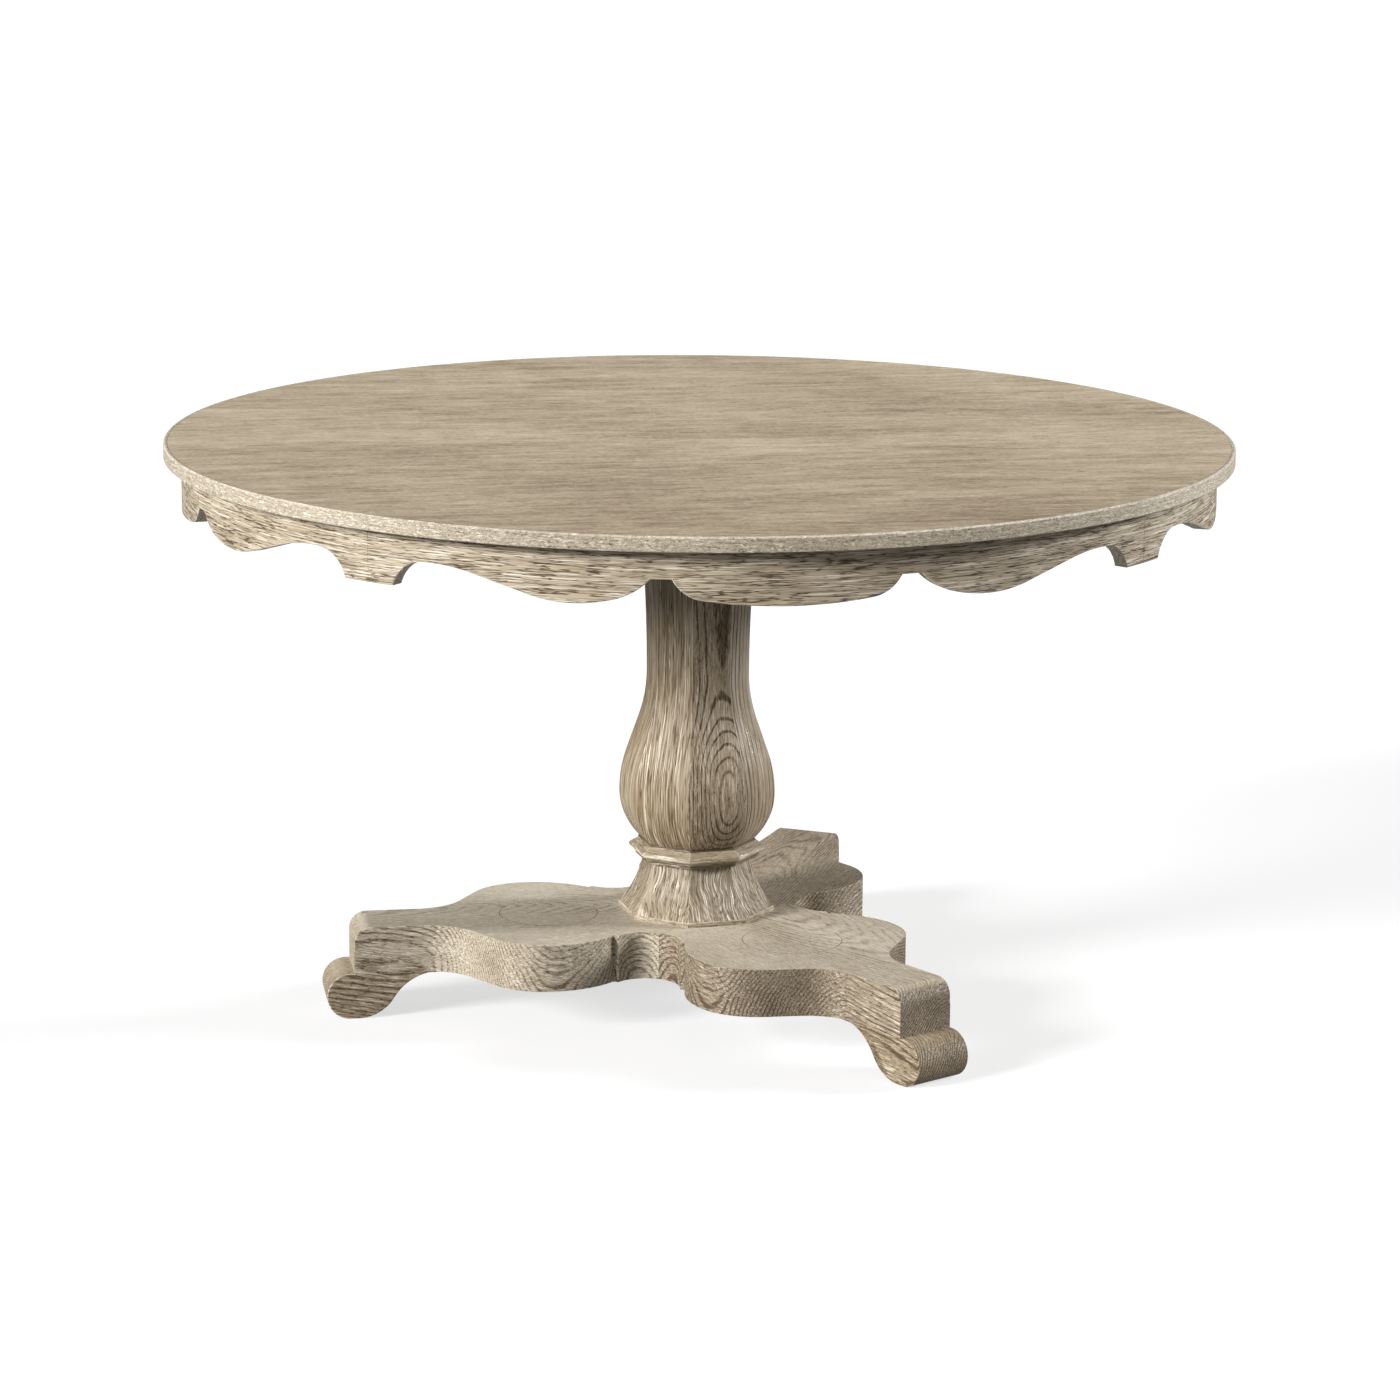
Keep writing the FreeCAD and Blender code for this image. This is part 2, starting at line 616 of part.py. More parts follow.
def tie_rod():
    """One long rod pulls the head plate, column, plinth, legs and base plate together."""
    low_seat = FOOT_TOP - BASE_PLATE_THICKNESS
    high_seat = UNDERSIDE - COUNTERBORE
    washers = [tube(ROD_WASHER_RADIUS, TIE_ROD_RADIUS, low_seat - ROD_WASHER, low_seat),
               tube(ROD_WASHER_RADIUS, TIE_ROD_RADIUS, high_seat, high_seat + ROD_WASHER)]
    nuts = []
    for nut_bottom in (low_seat - ROD_WASHER - ROD_NUT, high_seat + ROD_WASHER):
        nut = prism(6, ROD_NUT_FLAT, nut_bottom, nut_bottom + ROD_NUT, 0)
        nuts.append(nut.cut(disc(TIE_ROD_RADIUS, nut_bottom, nut_bottom + ROD_NUT)))
    rod_bottom = low_seat - ROD_WASHER - ROD_NUT - ROD_END_BELOW
    rod_top = high_seat + ROD_WASHER + ROD_NUT + ROD_END_ABOVE
    save("tie_rod", disc(TIE_ROD_RADIUS, rod_bottom, rod_top))
    save("tie_rod_washers", *washers)
    save("tie_rod_nuts", *nuts)


tabletop()
apron()
top_frame()
column()
collar()
plinth()
base()
tie_rod()
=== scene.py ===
import math

import bmesh
import bpy
from mathutils import Matrix, Vector


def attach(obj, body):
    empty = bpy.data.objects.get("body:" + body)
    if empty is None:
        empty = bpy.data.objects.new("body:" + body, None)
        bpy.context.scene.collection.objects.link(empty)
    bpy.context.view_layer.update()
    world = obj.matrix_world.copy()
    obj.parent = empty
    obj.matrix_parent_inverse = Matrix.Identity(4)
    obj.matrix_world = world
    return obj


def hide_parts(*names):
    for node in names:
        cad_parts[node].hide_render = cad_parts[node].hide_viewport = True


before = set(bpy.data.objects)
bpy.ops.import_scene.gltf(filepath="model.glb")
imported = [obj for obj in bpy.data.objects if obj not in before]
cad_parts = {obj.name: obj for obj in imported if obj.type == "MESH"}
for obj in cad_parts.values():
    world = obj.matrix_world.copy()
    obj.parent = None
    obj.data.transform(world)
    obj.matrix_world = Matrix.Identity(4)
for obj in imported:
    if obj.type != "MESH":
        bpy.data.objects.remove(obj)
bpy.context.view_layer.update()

# ---------------------------------------------------------------- leg boards
# Each leg is two thick oak boards glued face to face and sawn to one scrolled outline.
# The three legs meet in glued mitres.  Brushed, limed and rubbed back smooth on top.

MM = 0.001
LEG_ANGLES = {1: 180.0, 2: 300.0, 3: 60.0}
# Tones run from the dark of the pores, through the body of the wood, to the pale wax.
LEG_TONES = ((0.085, 0.058, 0.034), (0.325, 0.265, 0.186), (0.640, 0.585, 0.480))
LEG_GRAIN = dict(rings=0.34, ring_gap=3.8, pores=0.46, lime=0.32, clouds=0.18, rub=0.42)
# Each leg's own paleness and paler top: the tone of its boards, with painted light and shade for how each leg
# is lit.
LEG_TONE_AND_PAINTED_LIGHT = {1: dict(shade=0.69, painted_top_light=0.10), 2: dict(shade=0.47, painted_top_light=0.32),
              3: dict(shade=0.54, painted_top_light=0.02)}
# How far each leg's log leans, and where its heart is: the rings run out along the sawn sides.
LEG_LOGS = {1: (9.0, (-150.0, -35.0, 10.0)), 2: (-5.0, (400.0, 70.0, 40.0)),
            3: (6.0, (1300.0, -20.0, 160.0))}


class Finish:
    """A material begun afresh, and the few sums and patterns that every finish here is made of."""

    def __init__(self, name):
        self.material = bpy.data.materials.new(name)
        self.material.use_nodes = True
        self.tree = self.material.node_tree
        self.tree.nodes.clear()

    def add(self, kind, sockets, out=0, **settings):
        """Add one node, join or set its sockets, and give back one of its outputs."""
        made = self.tree.nodes.new("ShaderNode" + kind)
        for key, value in settings.items():
            setattr(made, key, value)
        for key, value in sockets.items():
            if isinstance(value, bpy.types.NodeSocket):
                self.tree.links.new(value, made.inputs[key])
            else:
                made.inputs[key].default_value = value
        return made.outputs[out] if made.outputs else None

    def total(self, first, *others):
        for other in others:
            first = self.add("Math", {0: first, 1: other}, operation="ADD")
        return first

    def times(self, a, b):
        return self.add("Math", {0: a, 1: b}, operation="MULTIPLY")

    def size_of(self, value):
        return self.add("Math", {0: value}, operation="ABSOLUTE")

    def scaled(self, place, by):
        return self.add("VectorMath", {0: place, 1: by}, operation="MULTIPLY")

    def noise(self, place, per_metre, detail, roughness=0.55, distortion=0.0):
        """A pattern from 0 to 1 with so many marks per metre along each direction."""
        return self.add("TexNoise", {"Vector": self.scaled(place, per_metre), "Scale": 1.0, "Detail": detail,
                                     "Roughness": roughness, "Distortion": distortion})

    def swing(self, place, per_metre, detail, roughness=0.55, distortion=0.0):
        """The same pattern, swinging to both sides of nothing."""
        return self.total(self.noise(place, per_metre, detail, roughness, distortion), -0.5)

    def window(self, value, low, high):
        """Rise softly from 0 to 1 as the value goes from low to high."""
        return self.add("MapRange", {"Value": value, "From Min": low, "From Max": high},
                        interpolation_type="SMOOTHSTEP")

    def colour(self, tone, tones, body_at):
        """Turn a tone from 0 to 1 into colour: the dark, the body at body_at, and the pale."""
        ramp = self.tree.nodes.new("ShaderNodeValToRGB")
        stops = ramp.color_ramp.elements
        dark, body, pale = (shade + (1.0,) for shade in tones)
        stops[0].position, stops[0].color = 0.05, dark
        stops[1].position, stops[1].color = 0.95, pale
        stops.new(body_at).color = body
        self.tree.links.new(tone, ramp.inputs[0])
        return ramp.outputs[0]

    def done(self, **sockets):
        """End the material in one surface.  Underscores stand for the spaces in socket names."""
        surface = self.add("BsdfPrincipled", {key.replace("_", " "): value for key, value in sockets.items()})
        self.add("OutputMaterial", {"Surface": surface})
        return self.material


def oak(name, tones, rings=0.22, ring_gap=4.5, ring_width=0.5, wander=5.0, pores=0.40, pore_length=20.0,
        depth=1.0, lime=0.25, clouds=0.16, edge=0.12, shade=0.58, rub=0.0, painted_top_light=0.1, painted_light_by_height=None,
        end=None, wave=0.0, smooth=0.44, relief=0.4, gloss=0.30, log=None):
    """Brushed oak with lime wax in its grain.

    Works in the log the piece was sawn from: x runs along the trunk, y and z go out from its
    heart.  log is None where the mesh carries its own "grain".  Otherwise it is (turn, lean,
    heart): the piece lies flat, turned and leaning by so many degrees, with the heart there.
    rings, pores, lime, clouds and edge say how strongly each shows, and shade how pale the whole
    is.  ring_gap, wander, pore_length and wave are in millimetres.
    depth below 1 draws the brushed marks out along a surface carved down through the grain.
    end is the direction of the sawn ends in degrees, where the end grain takes up more colour and goes
    darker.
    rub smooths the faces that look up, and lift paints them paler, as painted light from above.
    stain is (from, to, amount): painted light and shade by height, darkening the piece between two heights,
    or paling it if negative, in place of the lamps' shade or light there.
    """
    wood = Finish(name)
    if log is None:
        trunk = wood.add("Attribute", {}, out="Vector", attribute_name="grain")
    else:
        turn, lean, heart = log
        place = wood.add("NewGeometry", {})
        spun = wood.add("VectorRotate", {"Vector": place, "Angle": math.radians(-turn)},
                        rotation_type="Z_AXIS")
        leant = wood.add("VectorRotate", {"Vector": spun, "Angle": math.radians(lean)},
                         rotation_type="Y_AXIS")
        trunk = wood.add("VectorMath", {0: leant, 1: [v * MM for v in heart]}, operation="SUBTRACT")
    if wave:
        bend = wood.times(wood.swing(trunk, (16.0, 11.0, 11.0), 2.0), 4 * wave * MM)
        trunk = wood.add("VectorMath", {0: trunk, 1: wood.add("CombineXYZ", {"Y": bend})}, operation="ADD")

    # The trunk isn't straight: its rings wander slowly along it and ripple a little across.
    radius = wood.add("VectorMath", {0: wood.scaled(trunk, (0.0, 1.0, 1.0))}, out="Value",
                      operation="LENGTH")
    slow = wood.times(wood.swing(trunk, (2.6, 9.0, 9.0), 2.0), 8 * wander * MM)
    ripple = wood.times(wood.swing(trunk, (24.0, 80.0, 80.0), 2.0), 0.45 * wander * MM)
    radius = wood.total(radius, slow, ripple)
    growth = wood.add("Math", {0: wood.times(radius, 2 * math.pi / (ring_gap * MM))}, operation="SINE")
    ring = wood.window(growth, 1.0 - 2.0 * ring_width, 1.0)

    # Open pores are short dark dashes along the grain, thickest in the early wood of each ring.
    dash = 1000.0 / pore_length
    cut = wood.size_of(wood.swing(trunk, (dash, 310.0, 310.0 * depth), 2.0, 0.6))
    pore = wood.times(wood.window(cut, 0.055, 0.0), wood.total(wood.times(ring, 0.4), 0.7))
    coarse = wood.window(wood.noise(trunk, (dash * 0.6, 420.0, 420.0 * depth), 3.0, 0.65), 0.50, 0.66)
    # Lime wax lies in the brushed grain between them, over the slow patches of a hand-rubbed finish.
    wax = wood.window(wood.noise(trunk, (dash * 0.7, 560.0, 560.0 * depth), 2.0, 0.65), 0.52, 0.64)
    cloud = wood.swing(trunk, (2.2, 7.0, 7.0), 3.0)
    fade = wood.window(wood.noise(trunk, (6.0, 24.0, 24.0), 2.0), 0.30, 0.68)

    tone = wood.times(cloud, 4 * clouds)
    figure = wood.times(wood.times(ring, wood.total(wood.times(fade, 0.9), 0.25)), -rings)
    marks = wood.total(wood.times(pore, -pores), wood.times(coarse, -0.35 * pores))
    marks = wood.total(figure, marks, wood.times(wax, lime))
    # Faces that look up have their marks rubbed back, and are painted paler too: painted light from above.
    if rub:
        facing = wood.add("SeparateXYZ", {0: wood.add("NewGeometry", {}, out="True Normal")}, out="Z")
        up = wood.window(facing, 0.6, 0.95)
        marks = wood.times(marks, wood.total(wood.times(up, -rub), 1.0))
        tone = wood.total(tone, wood.times(up, painted_top_light))
    # Painted light and shade by height: the tone is lowered between two heights, or raised if the amount is
    # negative.
    if painted_light_by_height:
        start, stop, amount = painted_light_by_height
        height = wood.add("SeparateXYZ", {0: wood.add("NewGeometry", {})}, out="Z")
        tone = wood.total(tone, wood.times(wood.window(height, start * MM, stop * MM), -amount))
    if end is not None:
        trunk_way = (math.cos(math.radians(end)), math.sin(math.radians(end)), 0.0)
        facing = wood.add("VectorMath", {0: wood.add("NewGeometry", {}, out="True Normal"), 1: trunk_way},
                          out="Value", operation="DOT_PRODUCT")
        tone = wood.total(tone, wood.times(wood.window(wood.size_of(facing), 0.35, 1.0), -0.06))
    # Arris faces are painted lighter and hollow faces darker: wear, wax and glaze lines, with a painted
    # highlight or painted shade on some.
    arris = wood.add("Attribute", {}, out="Fac", attribute_name="arris")
    tone = wood.total(tone, marks, wood.total(wood.times(arris, edge), shade))

    rough = wood.total(wood.times(marks, -0.5), smooth, wood.times(cloud, 0.25))
    bump = wood.add("Bump", {"Height": marks, "Strength": relief, "Distance": 1.2 * MM})
    return wood.done(Base_Color=wood.colour(tone, tones, body_at=0.52), Roughness=rough, Normal=bump,
                     Specular_IOR_Level=gloss)


def dress(name, material):
    """Give a carried-over CAD piece its material."""
    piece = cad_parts[name]
    piece.data.materials.clear()
    piece.data.materials.append(material)
    piece.data.set_sharp_from_angle(angle=math.radians(35))


for number, angle in LEG_ANGLES.items():
    lean, heart = LEG_LOGS[number]
    leg_oak = oak("leg_%d_oak" % number, LEG_TONES, end=angle, log=(angle, lean, heart),
                  **LEG_TONE_AND_PAINTED_LIGHT[number], **LEG_GRAIN)
    dress("leg_%d_upper_board" % number, leg_oak)
    dress("leg_%d_lower_board" % number, leg_oak)

# ---------------------------------------------------------------- round plugs
# A round oak plug fills the bore in the top of each leg.  It is glued in with its grain
# lined up with the leg's, so that only a hairline circle shows.

PLUG_RADIUS = 64.5
PLUG_CENTRE = 196.0
PLUG_THICKNESS = 8.0
PLUG_STEPS = 96
PLUG_SLIP = (-6.0, 2.0)
HAIRLINE = 0.8
HAIRLINE_WAX = 0.9
LEG_TOP = 122.2


def leg_log(number, point):
    """Where a point of a leg, drawn along +X, lies in that leg's log."""
    lean, heart = LEG_LOGS[number]
    x, y, z = point
    c, s = math.cos(math.radians(lean)), math.sin(math.radians(lean))
    return (c * x + s * z - heart[0], y - heart[1], c * z - s * x - heart[2])


def make_piece(name, points, faces, grain, edges=(), hollows=(), sharp=35.0):
    """A mesh object in metres, from points in millimetres.

    grain gives each point's place in its log.  edges lists the arris faces, rubbed light and on some
    a painted highlight, and hollows lists the faces painted darker: dark wax and glaze lines, and
    painted shade in hollows, creases and under the lipping.
    """
    mesh = bpy.data.meshes.new(name)
    mesh.from_pydata([[v * MM for v in p] for p in points], [], faces)
    flow = mesh.attributes.new("grain", "FLOAT_VECTOR", "POINT")
    for item, place in zip(flow.data, grain):
        item.vector = [v * MM for v in place]
    arris = mesh.attributes.new("arris", "FLOAT", "FACE")
    for k in edges:
        arris.data[k].value = 1.0
    for k in hollows:
        arris.data[k].value = -1.0
    outward = bmesh.new()
    outward.from_mesh(mesh)
    bmesh.ops.recalc_face_normals(outward, faces=outward.faces)
    outward.to_mesh(mesh)
    outward.free()
    mesh.shade_smooth()
    mesh.set_sharp_from_angle(angle=math.radians(sharp))
    piece = bpy.data.objects.new(name, mesh)
    bpy.context.scene.collection.objects.link(piece)
    return piece


def place_piece(piece, material, slot_name, *cad_names):
    """Give a finished mesh its material and put it where the CAD pieces were."""
    piece.data.materials.append(material)
    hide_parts(*cad_names)
    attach(piece, "root")


def spin(points, degrees):
    """The same points, turned about the table's upright axis."""
    c, s = math.cos(math.radians(degrees)), math.sin(math.radians(degrees))
    return [(c * x - s * y, s * x + c * y, z) for x, y, z in points]


def band(first, second, count):
    """The faces between two closed rows of count points, which start at first and second."""
    return [(first + k, first + (k + 1) % count, second + (k + 1) % count, second + k) for k in range(count)]


def turned_disc(rims, steps, centre=0.0):
    """A disc turned from (radius, height) rims, listed from under it to over it.

    Its faces come rim by rim, then the fans that close its underside and its top.
    """
    points = []
    for radius, height in rims:
        for k in range(steps):
            a = 2 * math.pi * k / steps
            points.append((centre + radius * math.cos(a), radius * math.sin(a), height))
    points += [(centre, 0.0, rims[0][1]), (centre, 0.0, rims[-1][1])]
    faces = []
    for row in range(len(rims) - 1):
        faces += band(row * steps, (row + 1) * steps, steps)
    last = (len(rims) - 1) * steps
    for k in range(steps):
        n = (k + 1) % steps
        faces.append((k, n, len(points) - 2))
        faces.append((last + k, last + n, len(points) - 1))
    return points, faces


plug_rims = [(PLUG_RADIUS, LEG_TOP - PLUG_THICKNESS), (PLUG_RADIUS, LEG_TOP - HAIRLINE),
             (PLUG_RADIUS - HAIRLINE, LEG_TOP)]
for number, angle in LEG_ANGLES.items():
    points, faces = turned_disc(plug_rims, PLUG_STEPS, PLUG_CENTRE)
    grain = [leg_log(number, (x + PLUG_SLIP[0], y + PLUG_SLIP[1], z)) for x, y, z in points]
    plug = make_piece("plug_%d" % number, spin(points, angle), faces, grain,
                      hollows=range(PLUG_STEPS, 2 * PLUG_STEPS), sharp=20)
    # The plug takes its leg's paleness and painted light and shade.
    plug_oak = oak("plug_%d_oak" % number, LEG_TONES, edge=HAIRLINE_WAX, **LEG_TONE_AND_PAINTED_LIGHT[number], **LEG_GRAIN)
    place_piece(plug, plug_oak, "plug_oak", "leg_%d_round_plug" % number)

# ---------------------------------------------------------------- scrolled feet
# Each foot is a thick oak block, band-sawn to an ogee with a round toe that rolls forward.
# It is dowelled and glued under the end of the leg; its grain runs along the leg.

FOOT_TOP = 60.35
FOOT_HALF_WIDTH = 41.5
FLOOR_START = 449.0
FOOT_OGEE_RUN = 107.0
FOOT_BEND_SHARES = (0.57, 0.43)
NOSE_CENTRE = 459.5
FOOT_ARRIS = 1.1
FOOT_TONES = ((0.080, 0.052, 0.028), (0.315, 0.248, 0.162), LEG_TONES[2])
# Each foot's paleness: the tone of the oak, with painted light and shade for how each foot is lit.
FOOT_TONE_AND_PAINTED_LIGHT = {1: 0.54, 2: 0.38, 3: 0.48}


def bend(line, heading, radius, turn, steps):
    """Carry a line on along a tangent arc, to the left if turn is positive.

    heading is in degrees, and the new heading is given back.
    """
    x, y = line[-1]
    to_centre = math.radians(heading + math.copysign(90.0, turn))
    cx, cy = x + radius * math.cos(to_centre), y + radius * math.sin(to_centre)
    for k in range(1, steps + 1):
        a = to_centre + math.pi + math.radians(turn * k / steps)
        line.append((cx + radius * math.cos(a), cy + radius * math.sin(a)))
    return heading + turn


def inset(outline, by):
    """The same closed outline drawn a little smaller, square to its own edge."""
    smaller = []
    for k, (x, y) in enumerate(outline):
        before, after = outline[k - 1], outline[(k + 1) % len(outline)]
        tx, ty = after[0] - before[0], after[1] - before[1]
        size = math.hypot(tx, ty)
        smaller.append((x - ty / size * by, y + tx / size * by))
    return smaller


def lofted(rows):
    """A skin over rows of points, each row a closed outline, with a face over each end.

    Its faces come band by band between the rows, then the two ends.
    """
    count = len(rows[0])
    points = [point for row in rows for point in row]
    faces = []
    for row in range(len(rows) - 1):
        faces += band(row * count, (row + 1) * count, count)
    faces.append(tuple(range(count)))
    faces.append(tuple(range(len(points) - count, len(points))))
    return points, faces


foot_turn = math.degrees(math.atan2(FOOT_TOP, FOOT_OGEE_RUN))
foot_bends = FOOT_OGEE_RUN / math.sin(math.radians(2 * foot_turn))
foot_side = [(FLOOR_START - FOOT_OGEE_RUN, FOOT_TOP)]
heading = bend(foot_side, 0.0, foot_bends * FOOT_BEND_SHARES[0], -2 * foot_turn, steps=22)
bend(foot_side, heading, foot_bends * FOOT_BEND_SHARES[1], 2 * foot_turn, steps=18)
foot_side.append((NOSE_CENTRE, 0.0))
bend(foot_side, 0.0, FOOT_TOP / 2, 180.0, steps=40)
foot_inner = inset(foot_side, FOOT_ARRIS)
foot_rows = []
for outline, y in ((foot_inner, -FOOT_HALF_WIDTH), (foot_side, FOOT_ARRIS - FOOT_HALF_WIDTH),
                   (foot_side, FOOT_HALF_WIDTH - FOOT_ARRIS), (foot_inner, FOOT_HALF_WIDTH)):
    foot_rows.append([(x, y, max(z, 0.0)) for x, z in outline])
foot_worn = [row * len(foot_side) + k for row in (0, 2) for k in range(len(foot_side))]
for number, angle in LEG_ANGLES.items():
    points, faces = lofted(foot_rows)
    grain = [leg_log(number, point) for point in points]
    foot = make_piece("foot_%d" % number, spin(points, angle), faces, grain, foot_worn, sharp=28)
    foot_oak = oak("foot_%d_oak" % number, FOOT_TONES, shade=FOOT_TONE_AND_PAINTED_LIGHT[number], edge=0.18, **LEG_GRAIN)
    place_piece(foot, foot_oak, "leg_oak", "leg_%d_foot" % number)

# ---------------------------------------------------------------- joints under the legs
# Loose beech tongues cross the mitres and beech dowels hold the feet.  A zinc-plated round
# plate, screwed up underneath, ties the three legs together.

BEECH_TONES = ((0.20, 0.12, 0.06), (0.42, 0.29, 0.17), (0.56, 0.42, 0.27))
ZINC = (0.60, 0.61, 0.62)
RUST = (0.10, 0.06, 0.03)

beech = oak("frame_beech", BEECH_TONES, rings=0.10, ring_gap=3.0, pores=0.14, lime=0.02, clouds=0.10,
            relief=0.12, log=(0.0, 0.0, (0.0, 310.0, 200.0)))
for name in ("leg_tongues", "foot_dowels"):
    dress(name, beech)


def metal(name, bright, roughness, tarnish=RUST):
    """Plated steel or brass: fine scratches, dulled patches and a trace of tarnish."""
    plating = Finish(name)
    place = plating.add("NewGeometry", {})
    lines = plating.noise(place, (70.0, 900.0, 70.0), 4.0, 0.7)
    patch = plating.add("TexNoise", {"Vector": place, "Scale": 60.0, "Detail": 3.0})
    dulled = plating.tree.nodes.new("ShaderNodeMix")
    dulled.data_type = "RGBA"
    plating.tree.links.new(plating.window(patch, 0.52, 0.78), dulled.inputs["Factor"])
    dulled.inputs[6].default_value = bright + (1.0,)
    dulled.inputs[7].default_value = tarnish + (1.0,)
    rough = plating.add("MapRange", {"Value": lines, "To Min": roughness - 0.12, "To Max": roughness + 0.18})
    bump = plating.add("Bump", {"Height": lines, "Strength": 0.15, "Distance": 0.1 * MM})
    return plating.done(Base_Color=dulled.outputs[2], Metallic=1.0, Roughness=rough, Normal=bump)


zinc = metal("zinc_plated_steel", ZINC, 0.38)
for name in ("base_plate", "base_plate_screws"):
    dress(name, zinc)

# ---------------------------------------------------------------- plinth
# Eight mitred oak staves flare out from the collar to the legs, round a solid core, with a
# thin fillet strip at their foot.  Coarsely brushed, with lime left in the open grain.

SIDES = 8
FIRST_FACE = 322.5
FACE_STEP = 360.0 / SIDES
HALF_SLICE = math.pi / SIDES
BLUNT = 0.45
PLINTH_TOP = 195.0
PLINTH_TOP_CORNER = 70.5
PLINTH_FOOT_CORNER = 101.8
PLINTH_FLARE = 29.0
PLINTH_BORE_FLAT = 45.0
STRIP_BACK_FLAT = 86.0
STRIP_FLAT = 95.4
STRIP_HEIGHT = 6.4
STRIP_ARRIS = 1.4
# How far along the log each stave (in mm) and each strip (in m) is cut from the one before.
STAVE_LOG_STEP = 900.0
STRIP_LOG_STEP = 0.7
FLAT_LOG_DEPTH = 0.05
PLINTH_TONES = ((0.100, 0.068, 0.038), (0.310, 0.250, 0.168), (0.700, 0.640, 0.520))
STRIP_TONES = ((0.075, 0.050, 0.029), (0.300, 0.243, 0.166), (0.560, 0.500, 0.390))


def eighth(name, section, face_angle, log_shift=0.0, heart=(0.0, 0.0), worn_and_highlight_lines=(), wax_and_shade_lines=()):
    """One mitred eighth of an eight-sided moulding, with its grain running up it.

    section is a closed outline of (distance out to the flat face, height).  The corners between
    neighbouring faces are blunted a little, as a brush leaves them.
    """
    columns = [[], [], [], []]
    for flat, height in section:
        reach = flat * math.tan(HALF_SLICE) - BLUNT
        radius = flat * math.cos(HALF_SLICE) + reach * math.sin(HALF_SLICE)
        corner = (radius * math.cos(HALF_SLICE), radius * math.sin(HALF_SLICE))
        for column, (x, y) in zip(columns, ((corner[0], -corner[1]), (flat, -reach), (flat, reach), corner)):
            column.append((x, y, height))
    points, faces = lofted(columns)
    grain = [(z + log_shift, y + heart[0], x + heart[1]) for x, y, z in points]
    # Faces of the blunted corners and the listed worn lines are painted lighter as wear, with a painted
    # highlight on some; the listed waxed lines are painted darker as wax with painted shade.
    worn_and_highlight, wax_and_shade = [], []
    for column in range(3):
        for k in range(len(section)):
            if k in wax_and_shade_lines:
                wax_and_shade.append(column * len(section) + k)
            elif column != 1 or k in worn_and_highlight_lines:
                worn_and_highlight.append(column * len(section) + k)
    return make_piece(name, spin(points, face_angle), faces, grain, worn_and_highlight, wax_and_shade, sharp=24)


def along_the_side(piece, face_angle, log_shift):
    """Mouldings that lie flat have their grain along each side instead of up it."""
    back = math.radians(-face_angle)
    for item, vertex in zip(piece.data.attributes["grain"].data, piece.data.vertices):
        x, y, z = vertex.co
        out = x * math.cos(back) - y * math.sin(back)
        side = x * math.sin(back) + y * math.cos(back)
        item.vector = (side + log_shift, out + FLAT_LOG_DEPTH, z)


plinth_foot = LEG_TOP + STRIP_HEIGHT
top_flat, foot_flat = PLINTH_TOP_CORNER * math.cos(HALF_SLICE), PLINTH_FOOT_CORNER * math.cos(HALF_SLICE)
flare_chord = math.hypot(foot_flat - top_flat, PLINTH_TOP - plinth_foot)
flare_heading = math.degrees(math.atan2(PLINTH_TOP - plinth_foot, top_flat - foot_flat))
flare_radius = flare_chord / (2 * math.sin(math.radians(PLINTH_FLARE / 2)))
plinth_section = [(foot_flat, plinth_foot)]
bend(plinth_section, flare_heading + PLINTH_FLARE / 2, flare_radius, -PLINTH_FLARE, steps=24)
plinth_section += [(PLINTH_BORE_FLAT, PLINTH_TOP), (PLINTH_BORE_FLAT, LEG_TOP),
                   (STRIP_BACK_FLAT, LEG_TOP), (STRIP_BACK_FLAT, plinth_foot)]
plinth_oak = oak("plinth_oak", PLINTH_TONES, rings=0.10, ring_gap=5.0, ring_width=0.4, pores=0.54,
                 pore_length=70.0, depth=0.1, lime=0.46, edge=0.16, shade=0.51, wave=7.0, relief=0.7,
                 gloss=0.40)
for k in range(SIDES):
    stave = eighth("plinth_face_%d" % (k + 1), plinth_section, FIRST_FACE + FACE_STEP * k,
                   STAVE_LOG_STEP * k, (14.0 * (k % 3) - 16.0, -30.0 - 11.0 * (k % 4)))
    place_piece(stave, plinth_oak, "plinth_oak", "plinth_stave_%d" % (k + 1))

strip_section = [(STRIP_BACK_FLAT, LEG_TOP), (STRIP_FLAT, LEG_TOP), (STRIP_FLAT, plinth_foot - STRIP_ARRIS),
                 (STRIP_FLAT - STRIP_ARRIS, plinth_foot), (STRIP_BACK_FLAT, plinth_foot)]
strip_oak = oak("fillet_strip_oak", STRIP_TONES, rings=0.10, edge=0.20)
for k in range(SIDES):
    face_angle = FIRST_FACE + FACE_STEP * k
    strip = eighth("fillet_strip_%d" % (k + 1), strip_section, face_angle, worn_and_highlight_lines=(2,), wax_and_shade_lines=(3,))
    along_the_side(strip, face_angle, STRIP_LOG_STEP * k)
    place_piece(strip, strip_oak, "plinth_oak", "plinth_fillet_strips")

core_oak = oak("core_block_oak", LEG_TONES, log=(0.0, 90.0, (400.0, 20.0, -50.0)))
dress("plinth_core_block", core_oak)

# ---------------------------------------------------------------- collar
# Eight lengths of one oak moulding, mitred round the foot of the column: a round nose over
# a small hollow, with a sloping back.  Darker wax and painted shade lie in the hollow and where
# the column stands; the nose is rubbed light, with a painted highlight.

COLLAR_TOP = 218.5
COLLAR_BORE_FLAT = 45.0
COLLAR_STEP = (74.5, 198.5)
HOLLOW_START_FLAT = 76.0
HOLLOW_START_SLOPE = 80.0
HOLLOW_RADIUS, HOLLOW_TURN = 6.0, 60.0
NOSE_RADIUS, NOSE_TURN = 4.2, 145.0
COLLAR_BACK = (71.6, 216.1)
NOSE_WEAR_AND_HIGHLIGHT = 6
STEP_AND_HOLLOW_WAX_AND_SHADE = (2, 3, 4, 5)
COLLAR_LOG_START, COLLAR_LOG_STEP = 0.4, 1.3
COLLAR_TONES = ((0.080, 0.055, 0.032), (0.330, 0.270, 0.184), (0.680, 0.620, 0.500))

